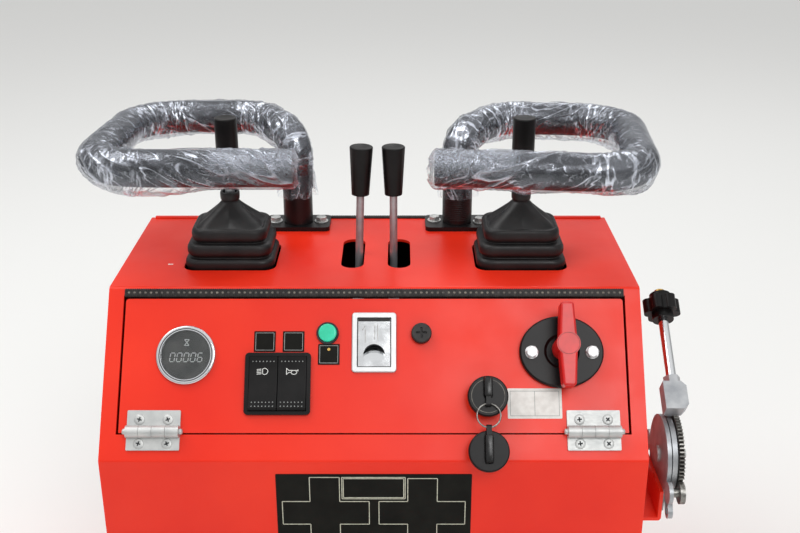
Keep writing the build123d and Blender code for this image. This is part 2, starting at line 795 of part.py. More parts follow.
def stick_valve():
    """A pilot valve about its stick's place: flange, head with two ears, body and four ports."""
    flange_z = bridge_z + bridge_plate
    head_top = stick_pivot_z - valve_top_below_pivot
    flange = rounded_plate(
        valve_flange_size, valve_flange_size, 6, flange_z, flange_z + valve_flange_thickness
    )
    head = rounded_plate(
        valve_head_x, valve_head_y, 4, flange_z + valve_flange_thickness, head_top
    )
    body = Pos(0, 0, flange_z) * Cylinder(valve_body_radius, valve_body_drop, align=under_base)
    valve = flange + head + body
    port_z = flange_z - valve_body_drop
    for x in (-valve_port_offset, valve_port_offset):
        for y in (-valve_port_offset, valve_port_offset):
            port = Cylinder(valve_port_radius, valve_port_length, align=under_base)
            valve += Pos(x, y, port_z) * port
    for _, side in sides:
        ear_x = sorted((side * ear_inner, side * (ear_inner + ear_thickness)))
        ear = block(ear_x, (-ear_half_depth, ear_half_depth), (head_top, stick_pivot_z))
        ear += rod((ear_x[0], 0, stick_pivot_z), (1, 0, 0), ear_half_depth, ear_thickness)
        bore = trunnion_radius + running_gap
        ear -= rod((ear_x[0], 0, stick_pivot_z), (1, 0, 0), bore, ear_thickness)
        valve += ear
    return valve


def gimbal():
    """The cross block between valve and stick: trunnions along X, a bore along Y."""
    cross = Box(cross_block_x, cross_block_y, cross_block_z)
    reach = ear_inner + ear_thickness
    cross += rod((-reach, 0, 0), (1, 0, 0), trunnion_radius, 2 * reach)
    bore = cross_pin_radius + running_gap
    cross -= rod((0, -cross_block_y, 0), (0, 1, 0), bore, 2 * cross_block_y)
    return Pos(0, 0, stick_pivot_z) * cross


def stick_lever():
    """The steel part of a stick: fork with its cross pin, and the rod up into the grip."""
    cheek_in = cross_block_y / 2 + fork_gap
    cheek_out = cheek_in + fork_cheek
    across = (-fork_half_width, fork_half_width)
    bridge_top = fork_rise + fork_bridge
    fork = block(across, (-cheek_out, cheek_out), (fork_rise, bridge_top))
    for _, side in sides:
        cheek = sorted((side * cheek_in, side * cheek_out))
        fork += block(across, cheek, (-fork_drop, fork_rise))
    fork += rod((0, -cheek_out, 0), (0, 1, 0), cross_pin_radius, 2 * cheek_out)
    rod_top = stick_pivot_below_deck + stick_top - stick_grip_radius
    fork += rod((0, 0, bridge_top), (0, 0, 1), stick_rod_radius, rod_top - bridge_top)
    return Pos(0, 0, stick_pivot_z) * fork


def dished_top(grip, height):
    """A grip whose top at a height has a rounded rim and a shallow dish."""
    rims = grip.edges().filter_by(GeomType.CIRCLE).sort_by(Axis.Z)
    grip = fillet(rims[-1], grip_rim)
    ball_radius = (grip_dish_radius ** 2 + grip_dish ** 2) / (2 * grip_dish)
    return grip - Pos(0, 0, height - grip_dish + ball_radius) * Sphere(ball_radius)


def stick_grip():
    """A plain moulded stick grip, dished at its top and bored for the rod."""
    low = deck_z + stick_top - stick_grip_length
    grip = Cylinder(stick_grip_radius, stick_grip_length, align=on_base)
    grip = dished_top(grip, stick_grip_length)
    grip = fillet(grip.edges().filter_by(GeomType.CIRCLE).sort_by(Axis.Z)[0], 1.5)
    bore_depth = stick_grip_length - stick_grip_radius + seat_gap
    grip -= Cylinder(stick_rod_radius + seat_gap, bore_depth, align=on_base)
    return Pos(0, 0, low) * grip


def boot_section(height, size_x, size_y):
    """One rounded section of a boot at a height above the deck."""
    corner = min(boot_corner, 0.49 * min(size_x, size_y))
    return Pos(0, 0, height) * RectangleRounded(size_x, size_y, corner)


def bellows_boot():
    """A bellows boot clamped under the deck: three folds, a shoulder and a neck round the rod."""
    neck = 2 * boot_neck_radius
    sections = [
        # height above the deck, size along X, size along Y
        (-cowl_sheet - boot_flange, 90.0, 72.0),
        (-cowl_sheet, 90.0, 72.0),
        (4.0, 95.0, 76.0),
        (11.0, 83.0, 65.0),
        (19.0, 90.0, 72.0),
        (27.0, 74.0, 58.0),
        (36.0, 80.0, 64.0),
        (43.0, 62.0, 48.0),
        (boot_neck_low, neck, neck),
        (boot_neck_high, neck, neck),
    ]
    outer = loft([boot_section(*row) for row in sections], ruled=True)
    thin = 2 * boot_wall
    inner_rows = [(height, x - thin, y - thin) for height, x, y in sections[:-1]]
    inner_rows[-1] = (boot_neck_low - boot_wall, neck - thin, neck - thin)
    inner = loft([boot_section(*row) for row in inner_rows], ruled=True)
    flange = rounded_plate(
        boot_hole_x + 2 * boot_flange_margin,
        boot_hole_y + 2 * boot_flange_margin,
        boot_corner,
        -cowl_sheet - boot_flange,
        -cowl_sheet,
    )
    bore = Cylinder(stick_rod_radius + seat_gap, boot_neck_high + overrun, align=on_base)
    return Pos(0, 0, deck_z) * (outer + flange - inner - bore)


def write_sticks():
    """Both drive sticks with their valves, gimbals, grips and boots."""
    for name, side in sides:
        place = Pos(side * stick_x, stick_y, 0)
        write(f"{name}_stick_valve", place * stick_valve())
        write(f"{name}_gimbal", place * gimbal())
        write(f"{name}_stick_lever", place * stick_lever())
        write(f"{name}_stick_grip", place * stick_grip())
        write(f"{name}_boot", place * bellows_boot())


def aux_valve():
    """The auxiliary spool valve on the bridge, with three ears and the shaft between them."""
    low = bridge_z + bridge_plate
    high = low + aux_valve_height
    valve = block(
        (-aux_valve_half_x, aux_valve_half_x),
        (front_y + aux_valve_front, front_y + aux_valve_back),
        (low, high),
    )
    for x in (-aux_ear_spacing, 0, aux_ear_spacing):
        start = x - aux_ear_thickness / 2
        ear_y = (aux_y - aux_ear_half_depth, aux_y + aux_ear_half_depth)
        valve += block((start, start + aux_ear_thickness), ear_y, (high, aux_pivot_z))
        ear_start = (start, aux_y, aux_pivot_z)
        valve += rod(ear_start, (1, 0, 0), aux_ear_half_depth, aux_ear_thickness)
    reach = aux_ear_spacing + aux_ear_thickness
    shaft_start = (-reach, aux_y, aux_pivot_z)
    valve += rod(shaft_start, (1, 0, 0), aux_shaft_radius, 2 * reach)
    for column in (-1, 1):
        for row in (-1, 1):
            port_x = column * aux_port_x
            port_y = aux_y + row * 2.5 * aux_ear_half_depth
            port = rod((port_x, port_y, high), (0, 0, 1), valve_port_radius, valve_port_length)
            valve += port
    return valve


def write_aux_levers():
    """Both auxiliary levers: hub and rod in one piece, and a tapered grip."""
    grip_length = aux_grip_high - aux_grip_low
    for name, x, lean in aux_levers:
        hub_start = (x - aux_hub_width / 2, aux_y, aux_pivot_z)
        lever = rod(hub_start, (1, 0, 0), aux_hub_radius, aux_hub_width)
        rod_length = aux_pivot_below_deck + aux_grip_high - aux_grip_high_radius
        leaned = Pos(x, aux_y, aux_pivot_z) * Rot(0, lean, 0)
        lever += leaned * Cylinder(aux_rod_radius, rod_length, align=on_base)
        lever -= rod(hub_start, (1, 0, 0), aux_shaft_radius + running_gap, aux_hub_width)
        write(f"{name}_aux_lever", lever)

        grip = Cone(aux_grip_low_radius, aux_grip_high_radius, grip_length, align=on_base)
        grip = dished_top(grip, grip_length)
        bore_depth = grip_length - aux_grip_high_radius + seat_gap
        grip -= Cylinder(aux_rod_radius + seat_gap, bore_depth, align=on_base)
        write(f"{name}_aux_grip", leaned * Pos(0, 0, aux_pivot_below_deck + aux_grip_low) * grip)


def loop_path(side, foot, end_x):
    """The centre line of one grab loop, from a height on its post to its free end."""
    shoulder_y = post_y + loop_shoulder_past_post
    near_y = front_y + loop_near_from_front
    outer_x = side * loop_outer_x
    return FilletPolyline(
        (side * post_x, post_y, deck_z + foot),
        (side * post_x, post_y, deck_z + loop_post_rise),
        (side * loop_shoulder_x, shoulder_y, deck_z + loop_far_rise),
        (outer_x, shoulder_y, deck_z + loop_far_rise),
        (outer_x, near_y, deck_z + loop_near_rise),
        (side * end_x, near_y, deck_z + loop_near_rise),
        radius=loop_bend_radii,
    )


def swept_bar(path, radius):
    """A round bar along a path."""
    start = Plane(origin=path @ 0, z_dir=path % 0)
    return sweep(start * Circle(radius), path=path)


def write_loops():
    """Both grab loops: bolted foot with its tube, and the foam cover."""
    for name, side in sides:
        turn = right_loop_turn if side > 0 else 0.0
        post = (side * post_x, post_y, deck_z)
        place = Pos(*post) * Rot(0, 0, turn) * Pos(*(-c for c in post))
        foot = rounded_plate(post_flange_x, post_flange_y, 6, 0, post_flange_z)
        for end in (-1, 1):
            hole = Cylinder(4.5, 4 * post_flange_z)
            foot -= Pos(end * post_bolt_spacing / 2, 0, 0) * hole
        foot += Cylinder(sleeve_radius, sleeve_height, align=on_base)
        tube_path = loop_path(side, sleeve_height, loop_end_x + foam_end)
        tube = swept_bar(tube_path, loop_tube_radius)
        tube -= swept_bar(tube_path, loop_tube_radius - loop_tube_wall)
        frame = Pos(*post) * foot + place * tube
        write(f"{name}_loop_frame", frame)

        foam_path = loop_path(side, sleeve_height, loop_end_x)
        foam = swept_bar(foam_path, foam_radius) - swept_bar(tube_path, loop_tube_radius + foam_gap)
        write(f"{name}_loop_foam", place * foam)


def brake_bracket():
    """The folded bracket on the right wall: a floor and an upright plate."""
    span = (front_y + brake_bracket_front, front_y + brake_bracket_back)
    low = brake_pivot_z - brake_bracket_below
    high = brake_pivot_z - brake_bracket_above
    floor = block((half_width, brake_plate_x), span, (low, low + brake_bracket_sheet))
    plate_x = (brake_plate_x - brake_bracket_sheet, brake_plate_x)
    bracket = floor + block(plate_x, span, (low, high))
    outer_fold = bracket.edges().filter_by(Axis.Y).sort_by(Axis.X)[-2:].sort_by(Axis.Z)[0]
    return fillet(outer_fold, brake_bracket_sheet)


def polar(reach, angle):
    """A point in the lever's plane at a distance and an angle above forward."""
    return reach * cos(radians(angle)), reach * sin(radians(angle))


def spacer_places():
    """Y and Z of the spacers between the round plate and the toothed sector."""
    offsets = [polar(brake_spacer_reach, angle) for angle in brake_spacer_angles]
    return [(brake_pivot_y + y, brake_pivot_z + z) for y, z in offsets]


def brake_mount():
    """The round plate that carries the lever's pivot, bolted on the bracket."""
    centre = (brake_plate_x, brake_pivot_y, brake_pivot_z)
    plate = rod(centre, (1, 0, 0), brake_mount_radius, brake_mount_plate)
    plate += block(
        (brake_plate_x, brake_plate_x + brake_mount_plate),
        (brake_pivot_y - brake_mount_half_depth, brake_pivot_y + brake_mount_half_depth),
        (brake_pivot_z - brake_mount_below, brake_pivot_z),
    )
    for y, z in spacer_places():
        plate += rod((brake_plate_x, y, z), (1, 0, 0), brake_lug_radius, brake_mount_plate)
    return plate - rod(centre, (1, 0, 0), brake_bolt_radius + seat_gap, brake_mount_plate)


def sector_outline():
    """The sector's outline: ratchet teeth over its upper rear arc, and a plain arc below."""
    half_pitch = brake_tooth_pitch / 2
    tip = brake_sector_radius + brake_tooth_height
    points = []
    for index in range(brake_tooth_count):
        angle = brake_tooth_start + index * brake_tooth_pitch
        points.append(polar(brake_sector_radius, angle))
        points.append(polar(tip, angle + half_pitch / 3))
        points.append(polar(tip, angle + half_pitch))
    end_angle = brake_tooth_start + brake_tooth_count * brake_tooth_pitch
    points.append(polar(brake_sector_radius, end_angle))
    middle_angle = (end_angle + brake_tooth_start + 360) / 2
    back = ThreePointArc(points[-1], polar(brake_sector_radius, middle_angle), points[0])
    return make_face([*Polyline(*points).edges(), back])


def brake_sector():
    """The toothed sector with its two spacers, which stand it off the round plate."""
    plane = Plane(
        origin=(brake_sector_x, brake_pivot_y, brake_pivot_z), x_dir=(0, 1, 0), z_dir=(1, 0, 0)
    )
    sector = plane.location * extrude(sector_outline(), brake_sector_plate)
    spacer_start = brake_plate_x + brake_mount_plate
    for y, z in spacer_places():
        sector += rod((brake_sector_x, y, z), (1, 0, 0), brake_lug_radius, brake_sector_plate)
        start = (spacer_start, y, z)
        sector += rod(start, (1, 0, 0), brake_spacer_radius, brake_sector_x - spacer_start)
    bore_start = (brake_sector_x, brake_pivot_y, brake_pivot_z)
    return sector - rod(bore_start, (1, 0, 0), brake_bolt_radius + seat_gap, brake_sector_plate)


def brake_pivot_bolt():
    """The lever's pivot bolt, with its nut outside the sector and its head behind the plate."""
    head = brake_bolt_head * 0.4
    end_x = brake_sector_x + brake_sector_plate
    centre = (brake_pivot_y, brake_pivot_z)
    length = end_x - brake_plate_x + brake_bolt_head + brake_bolt_thread
    bolt = rod((brake_plate_x, *centre), (1, 0, 0), brake_bolt_radius, length)
    nut = Plane(origin=(end_x, *centre), z_dir=(1, 0, 0)).location
    bolt += nut * extrude(RegularPolygon(brake_bolt_head_radius, 6), brake_bolt_head)
    back = Plane(origin=(brake_plate_x - head, *centre), z_dir=(1, 0, 0)).location
    return bolt + back * Cylinder(brake_bolt_head_radius, head, align=on_base)


def brake_frame():
    """The lever's own frame at rest: along the lever, across it, and out to the side."""
    return Plane(
        origin=(brake_arm_x + brake_arm_plate / 2, brake_pivot_y, brake_pivot_z),
        x_dir=(0, *polar(1, brake_angle)),
        z_dir=(1, 0, 0),
    ).location


def along_lever(distance):
    """A place on the lever's rod axis, at a distance past the middle of the yoke."""
    yoke_along, yoke_across = polar(brake_yoke_rise, 90 - brake_angle)
    return Plane(
        origin=(yoke_along + distance, yoke_across, brake_yoke_shift_x),
        x_dir=(0, 0, 1),
        z_dir=(1, 0, 0),
    ).location


def brake_arm():
    """The lever: round plate with cable tail, yoke, nut and the rod up to the knob."""
    disc = Cylinder(brake_disc_radius, brake_arm_plate)
    tail_place = Rot(0, 0, brake_tail_turn)
    tail_middle = tail_place * Pos(brake_tail_reach / 2, 0, 0)
    tail_end = tail_place * Pos(brake_tail_reach, 0, 0)
    arm = disc + tail_middle * Box(brake_tail_reach, 2 * brake_tail_radius, brake_arm_plate)
    arm += tail_end * Cylinder(brake_tail_radius, brake_arm_plate)
    arm -= tail_end * Cylinder(brake_tail_bore / 2, brake_arm_plate)
    arm -= Cylinder(brake_bolt_radius + running_gap, brake_arm_plate)
    yoke_along, yoke_across = polar(brake_yoke_rise, 90 - brake_angle)
    neck_middle = (yoke_along, yoke_across / 2 + brake_yoke_half_width, 0)
    arm += Pos(*neck_middle) * Box(brake_neck_length, yoke_across / 2, brake_arm_plate)

    yoke_length = brake_yoke_end - brake_yoke_start
    yoke = Box(brake_yoke_x, 2 * brake_yoke_half_width, yoke_length, align=on_base)
    outer_corners = yoke.edges().filter_by(Axis.Y).group_by(Axis.X)[-1]
    yoke = chamfer(outer_corners, brake_yoke_chamfer)
    arm += along_lever(brake_yoke_start) * yoke
    bar_length = brake_knob_start - brake_yoke_end + overrun
    arm += along_lever(brake_yoke_end - overrun) * Cylinder(
        brake_rod_radius, bar_length, align=on_base
    )
    nut = extrude(RegularPolygon(brake_nut_radius, 6), brake_nut_length)
    arm += along_lever(brake_yoke_end) * nut
    return brake_frame() * arm


def brake_knob():
    """A lobed star knob with a collar at each end, on the lever's rod."""
    length = brake_knob_end - brake_knob_start
    outline = Circle(brake_knob_radius - 0.7 * brake_lobe_radius)
    for index in range(brake_knob_lobes):
        angle = index * 360 / brake_knob_lobes
        lobe = polar(brake_knob_radius - brake_lobe_radius, angle)
        outline += Pos(*lobe) * Circle(brake_lobe_radius)
    outline = fillet(outline.vertices(), 1.5)
    knob = Cylinder(brake_knob_collar_radius, length, align=on_base)
    knob += Pos(0, 0, brake_knob_collar) * extrude(outline, length - 2 * brake_knob_collar)
    return brake_frame() * along_lever(brake_knob_start) * knob


def brake_button():
    """The release button in the top of the knob."""
    button = Cylinder(brake_button_radius, brake_button_length, align=on_base)
    button = fillet(button.edges().filter_by(GeomType.CIRCLE).sort_by(Axis.Z)[-1], 1.5)
    return brake_frame() * along_lever(brake_knob_end) * button


write("cowl_shell", cowl_shell())
write("rear_cover", rear_cover())
write("lid_opening_trim", lid_opening_trim())
write("deck_edge_trim", deck_edge_trim())
write("lid_panel", lid_panel())
write_hinges()
hour_meter()
switch_group()
pilot_lamp()
latch()
fuse_holder()
battery_isolator()
keys()
write("control_bridge", control_bridge())
write_sticks()
write("aux_valve", aux_valve())
write_aux_levers()
write_loops()
write("brake_bracket", brake_bracket())
write("brake_mount", brake_mount())
write("brake_sector", brake_sector())
write("brake_pivot_bolt", brake_pivot_bolt())
write("brake_arm", brake_arm())
write("brake_knob", brake_knob())
write("brake_button", brake_button())
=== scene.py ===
import json
from math import atan2, cos, hypot, pi, radians, sin, tan

import bpy
from mathutils import Matrix, Vector, noise
from mathutils.bvhtree import BVHTree


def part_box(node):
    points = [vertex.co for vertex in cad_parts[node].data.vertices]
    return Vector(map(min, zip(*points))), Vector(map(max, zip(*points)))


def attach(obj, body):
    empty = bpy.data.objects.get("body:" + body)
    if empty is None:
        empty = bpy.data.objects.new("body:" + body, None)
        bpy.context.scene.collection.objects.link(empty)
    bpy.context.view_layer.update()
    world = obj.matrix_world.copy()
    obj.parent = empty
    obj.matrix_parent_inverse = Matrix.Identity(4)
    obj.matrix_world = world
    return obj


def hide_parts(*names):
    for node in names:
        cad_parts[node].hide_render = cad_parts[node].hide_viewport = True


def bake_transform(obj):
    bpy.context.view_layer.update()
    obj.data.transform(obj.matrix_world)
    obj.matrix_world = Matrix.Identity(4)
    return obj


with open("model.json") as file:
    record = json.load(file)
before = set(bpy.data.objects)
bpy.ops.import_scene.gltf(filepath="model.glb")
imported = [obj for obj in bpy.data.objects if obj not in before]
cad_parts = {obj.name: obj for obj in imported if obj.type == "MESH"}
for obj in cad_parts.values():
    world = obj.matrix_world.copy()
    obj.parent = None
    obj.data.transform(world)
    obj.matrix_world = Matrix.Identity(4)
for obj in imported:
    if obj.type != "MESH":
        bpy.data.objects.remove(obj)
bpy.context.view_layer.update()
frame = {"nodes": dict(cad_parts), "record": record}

# Sizes are in metres and angles in degrees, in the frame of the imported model.
mm = 0.001

# Planes that the small pieces are placed on
cowl_low, cowl_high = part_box("cowl_shell")
front_y, back_y = cowl_low.y, cowl_high.y
deck_z = cowl_high.z
face_height = 319 * mm
panel_run = 104 * mm
slope = Vector((0, panel_run, deck_z - face_height)).normalized()
panel = Matrix((
    (1, 0, 0, 0),
    (0, slope.y, -slope.z, front_y),
    (0, slope.z, slope.y, face_height),
    (0, 0, 0, 1),
))
face = Matrix.Translation((0, front_y, 0)) @ Matrix.Rotation(pi / 2, 4, "X")

# Places on the panel of what holds several pieces, in millimetres across and up the slope
meter_spot = (-188.4, 105)
ignition_spot = (112.2, 62)
charge_spot = (-45.4, 106)
white_label_spot = (159.7, 56.8)

# Camera
camera_place = Vector((0.026, -1.0743, 0.9062))
camera_down = 22.5
camera_lens = 49.275

floor_width = 120

sides = [("left", -1), ("right", 1)]


# Camera, floor and light

def make_camera():
    """The camera at the photograph's place and angle."""
    lens = bpy.data.cameras.new("camera")
    lens.lens = camera_lens
    lens.sensor_width = 36
    camera = bpy.data.objects.new("camera", lens)
    camera.location = camera_place
    camera.rotation_euler = (radians(90 - camera_down), 0, 0)
    bpy.context.collection.objects.link(camera)
    bpy.context.scene.camera = camera


def area_light(name, place, target, size, power):
    """A square soft light that points at a place."""
    lamp = bpy.data.lights.new(name, "AREA")
    lamp.size = size
    lamp.energy = power
    holder = bpy.data.objects.new(name, lamp)
    holder.location = place
    direction = Vector(target) - Vector(place)
    holder.rotation_euler = direction.to_track_quat("-Z", "Y").to_euler()
    bpy.context.collection.objects.link(holder)


def add_node(owner, kind, values=None):
    """A new shader node, with a value or a link for each named or numbered input."""
    node = owner.node_tree.nodes.new(kind)
    for name, value in (values or {}).items():
        if isinstance(value, bpy.types.NodeSocket):
            owner.node_tree.links.new(value, node.inputs[name])
        else:
            node.inputs[name].default_value = value
    return node


def combined(owner, operation, first, second):
    """The result of a math node on a factor and a second factor or number."""
    node = add_node(owner, "ShaderNodeMath", {0: first, 1: second})
    node.operation = operation
    return node.outputs[0]


def ranged(owner, factor, start, end, low, high):
    """A factor whose stretch from start to end becomes low to high."""
    values = {"Value": factor, "From Min": start, "From Max": end, "To Min": low, "To Max": high}
    return add_node(owner, "ShaderNodeMapRange", values).outputs["Result"]


def seen_directly(world):
    """One for rays that come from the camera, a reflection or a clear material."""
    path = add_node(world, "ShaderNodeLightPath")
    either = combined(world, "MAXIMUM", path.outputs["Is Camera Ray"], path.outputs["Is Glossy Ray"])
    return combined(world, "MAXIMUM", either, path.outputs["Is Transmission Ray"])


def make_studio():
    """A pale floor, a pale surround that is brighter above, and three soft lights."""
    world = bpy.data.worlds.new("studio")
    bpy.context.scene.world = world
    world.use_nodes = True
    coordinates = add_node(world, "ShaderNodeTexCoord")
    direction = add_node(world, "ShaderNodeSeparateXYZ", {0: coordinates.outputs["Generated"]})
    height = ranged(world, direction.outputs["Z"], 0.0, 0.85, 0.26, 1.0)
    level = ranged(world, seen_directly(world), 0.0, 1.0, 0.85, 1.0)
    background = world.node_tree.nodes["Background"]
    background.inputs["Color"].default_value = (1, 1, 1, 1)
    strength = combined(world, "MULTIPLY", height, level)
    world.node_tree.links.new(strength, background.inputs["Strength"])

    half = floor_width / 2
    mesh = bpy.data.meshes.new("floor")
    corners = [(-half, -half, 0), (half, -half, 0), (half, half, 0), (-half, half, 0)]
    mesh.from_pydata(corners, [], [(0, 1, 2, 3)])
    floor = bpy.data.objects.new("floor", mesh)
    bpy.context.collection.objects.link(floor)
    mesh.materials.append(finish_of("floor"))

    target = (0, 0, 0.4)
    area_light("key", (0.66, -1.78, 2.1), target, 1.0, 19)
    area_light("fill", (-1.3, 0.1, 2.7), target, 1.6, 24)
    area_light("back", (0.6, 2.0, 2.5), target, 1.4, 12)
    bpy.context.scene.view_settings.view_transform = "Standard"


# Materials

def srgb(red, green, blue):
    """A colour given as screen values from 0 to 255, in the shader's linear numbers."""
    linear = []
    for value in (red, green, blue):
        share = value / 255
        linear.append(share / 12.92 if share <= 0.04045 else ((share + 0.055) / 1.055) ** 2.4)
    return tuple(linear)


def base(made, colour, roughness, metallic=0.0, specular=0.5, others=()):
    """Plain values, set on the sockets of a material's shader."""
    values = {"Roughness": roughness, "Metallic": metallic, "Specular IOR Level": specular}
    values.update(others)
    shader = made.node_tree.nodes["Principled BSDF"]
    shader.inputs["Base Color"].default_value = (*srgb(*colour), 1)
    for socket, value in values.items():
        shader.inputs[socket].default_value = value


def lead(made, name, factor):
    """Let a factor or colour set an input of a material's shader."""
    made.node_tree.links.new(factor, made.node_tree.nodes["Principled BSDF"].inputs[name])


def noise_over(made, space, scale, detail):
    """A noise over a space, finer with a larger scale."""
    values = {"Vector": space, "Scale": scale, "Detail": detail}
    return add_node(made, "ShaderNodeTexNoise", values).outputs["Fac"]


def grain(made, size, detail, stretch=(1, 1, 1)):
    """A noise through the object's own space, with features of about a size in millimetres."""
    coordinates = add_node(made, "ShaderNodeTexCoord").outputs["Object"]
    values = {"Vector": coordinates, "Scale": [share / (size * mm) for share in stretch]}
    mapping = add_node(made, "ShaderNodeMapping", values)
    return noise_over(made, mapping.outputs["Vector"], 1.0, detail)


def tint(made, size, detail, dark, light, start=0.35, end=0.7):
    """Base colour that goes from dark to light as a grain goes from start to end."""
    ramp = add_node(made, "ShaderNodeValToRGB", {"Fac": grain(made, size, detail)})
    first, last = ramp.color_ramp.elements
    first.position, last.position = start, end
    first.color, last.color = (*srgb(*dark), 1), (*srgb(*light), 1)
    lead(made, "Base Color", ramp.outputs["Color"])


def polish(made, size, detail, low, high, stretch=(1, 1, 1)):
    """Roughness between two values, led by a grain."""
    lead(made, "Roughness", ranged(made, grain(made, size, detail, stretch), 0.3, 0.7, low, high))


def bumped(made, factor, depth):
    """A bump with a depth in millimetres, on top of any bump that is there."""
    values = {"Strength": 1.0, "Distance": depth * mm, "Height": factor}
    bump = add_node(made, "ShaderNodeBump", values)
    before = made.node_tree.nodes["Principled BSDF"].inputs["Normal"].links
    if before:
        made.node_tree.links.new(before[0].from_socket, bump.inputs["Normal"])
    lead(made, "Normal", bump.outputs["Normal"])


def relief(made, size, detail, depth, stretch=(1, 1, 1)):
    """A fine relief: a grain as a bump."""
    bumped(made, grain(made, size, detail, stretch), depth)


makers = {}


def maker(function):
    """Keep a function that dresses a material, under its own name."""
    makers[function.__name__] = function
    return function


@maker
def floor(made):
    """The floor's matt pale grey."""
    base(made, (238, 238, 236), 0.8, specular=0.1)


@maker
def cowl_paint(made):
    """Glossy red orange powder coat with a fine orange peel and a little dust."""
    base(made, (238, 44, 20), 0.32, specular=0.32)
    tint(made, 160, 5, (232, 38, 16), (244, 52, 26))
    polish(made, 50, 6, 0.28, 0.42)
    relief(made, 1.6, 2, 0.03)


@maker
def edge_rubber(made):
    """Black edging with a dull bloom."""
    base(made, (34, 32, 32), 0.5, specular=0.35)
    tint(made, 6, 5, (24, 22, 22), (48, 44, 42))
    relief(made, 0.4, 2, 0.04)


@maker
def highlight_rubber(made):
    """Painted highlight: pale grey that stands for the light caught on the edging's beads and on the
    ring of the ignition key's cap.
    """
    base(made, (104, 98, 90), 0.5)
    tint(made, 9, 4, (66, 62, 60), (132, 126, 114), 0.35, 0.65)


@maker
def zinc(made):
    """Bright zinc plate, cloudy and faintly brushed."""
    base(made, (196, 197, 196), 0.5, metallic=0.7)
    tint(made, 12, 4, (186, 188, 187), (206, 207, 205), 0.3, 0.7)
    polish(made, 4, 5, 0.46, 0.58, (1, 6, 1))
    relief(made, 0.5, 2, 0.008, (1, 8, 1))


@maker
def bright_steel(made):
    """Bright steel of the latch's frame and the isolator's bolts."""
    base(made, (206, 207, 208), 0.42, metallic=0.75)
    polish(made, 6, 4, 0.36, 0.48)


@maker
def wire_steel(made):
    """Dull steel of the key ring, the brake's sector and fine lines."""
    base(made, (132, 130, 126), 0.35, metallic=0.9)
    tint(made, 3, 4, (104, 102, 98), (158, 156, 152), 0.3, 0.7)


@maker
def black_paint(made):
    """Satin black powder coat."""
    base(made, (20, 18, 19), 0.4, specular=0.35)
    tint(made, 30, 5, (15, 13, 14), (26, 23, 24))
    relief(made, 0.9, 2, 0.03)


@maker
def valve_iron(made):
    """Dark cast iron with a coarse skin."""
    base(made, (52, 54, 57), 0.6, metallic=0.6)
    tint(made, 12, 5, (40, 42, 45), (66, 68, 71), 0.3, 0.7)
    relief(made, 1.1, 3, 0.15)


@maker
def boot_rubber(made):
    """Black moulded rubber with a soft sheen and dust in its folds."""
    base(made, (24, 22, 23), 0.42, specular=0.4)
    tint(made, 22, 6, (17, 16, 17), (34, 31, 31), 0.4, 0.75)
    polish(made, 10, 4, 0.4, 0.55)
    relief(made, 0.35, 2, 0.02)


@maker
def grip_foam(made):
    """Black closed cell foam with an open skin."""
    base(made, (20, 20, 22), 0.8, specular=0.3)
    tint(made, 8, 5, (14, 13, 15), (27, 26, 29))
    relief(made, 0.7, 2, 0.12)


@maker
def grey_steel(made):
    """Grey plated steel, slightly cloudy."""
    base(made, (168, 170, 173), 0.4, metallic=0.6)
    tint(made, 15, 5, (152, 155, 159), (184, 186, 188))
    relief(made, 0.8, 3, 0.02)


@maker
def black_plastic(made):
    """Black moulded plastic with a fine spark eroded grain."""
    base(made, (16, 15, 15), 0.34, specular=0.2)
    tint(made, 18, 4, (12, 11, 11), (22, 20, 20))
    relief(made, 0.3, 2, 0.02)


@maker
def key_plastic(made):
    """Black plastic of the keys' grips, polished by hands."""
    base(made, (11, 10, 10), 0.24, specular=0.45)
    tint(made, 12, 4, (8, 7, 7), (15, 14, 14))
    polish(made, 5, 5, 0.2, 0.34)


@maker
def red_plastic(made):
    """Bright red moulded plastic."""
    base(made, (206, 22, 20), 0.33)
    tint(made, 14, 4, (196, 18, 17), (216, 28, 25))
    relief(made, 0.4, 2, 0.015)


@maker
def bezel_chrome(made):
    """Polished chrome plate."""
    base(made, (214, 216, 218), 0.12, metallic=1.0)
    polish(made, 12, 4, 0.07, 0.2)


@maker
def dial_face(made):
    """The meter's dark printed dial."""
    base(made, (50, 50, 47), 0.5)
    tint(made, 22, 2, (44, 44, 41), (96, 94, 88), 0.4, 0.75)


@maker
def clear_lens(made):
    """Clear moulded lens over the dial."""
    base(made, (235, 238, 240), 0.05, others={"Transmission Weight": 1.0, "IOR": 1.45})
    polish(made, 15, 3, 0.0, 0.03)


@maker
def green_lens(made):
    """Green moulded lamp lens."""
    others = {"Transmission Weight": 0.1, "Coat Weight": 0.3}
    base(made, (38, 218, 172), 0.22, others=others)
    tint(made, 9, 2, (30, 210, 164), (46, 226, 182), 0.3, 0.7)


@maker
def brass(made):
    """Turned brass."""
    base(made, (196, 160, 88), 0.25, metallic=1.0)
    polish(made, 2, 4, 0.18, 0.34, (1, 1, 6))


def stored(made, name):
    """The node that reads a value stored on the mesh's points."""
    node = add_node(made, "ShaderNodeAttribute")
    node.attribute_name = name
    return node


def crease_lines(made, name, size, width, patch, stretch=(1, 1, 1)):
    """Thin broken lines, along the level lines of a noise over a stored space."""
    space = add_node(made, "ShaderNodeVectorMath", {0: stored(made, name).outputs["Vector"], 1: stretch})
    space.operation = "MULTIPLY"
    level = noise_over(made, space.outputs["Vector"], 1 / size, 1.5)
    patches = noise_over(made, space.outputs["Vector"], 1 / patch, 2.0)
    distance = combined(made, "ABSOLUTE", combined(made, "SUBTRACT", level, 0.5), 0.0)
    line = ranged(made, distance, 0.0, width, 1.0, 0.0)
    return combined(made, "MULTIPLY", line, ranged(made, patches, 0.4, 0.56, 0.0, 1.0))


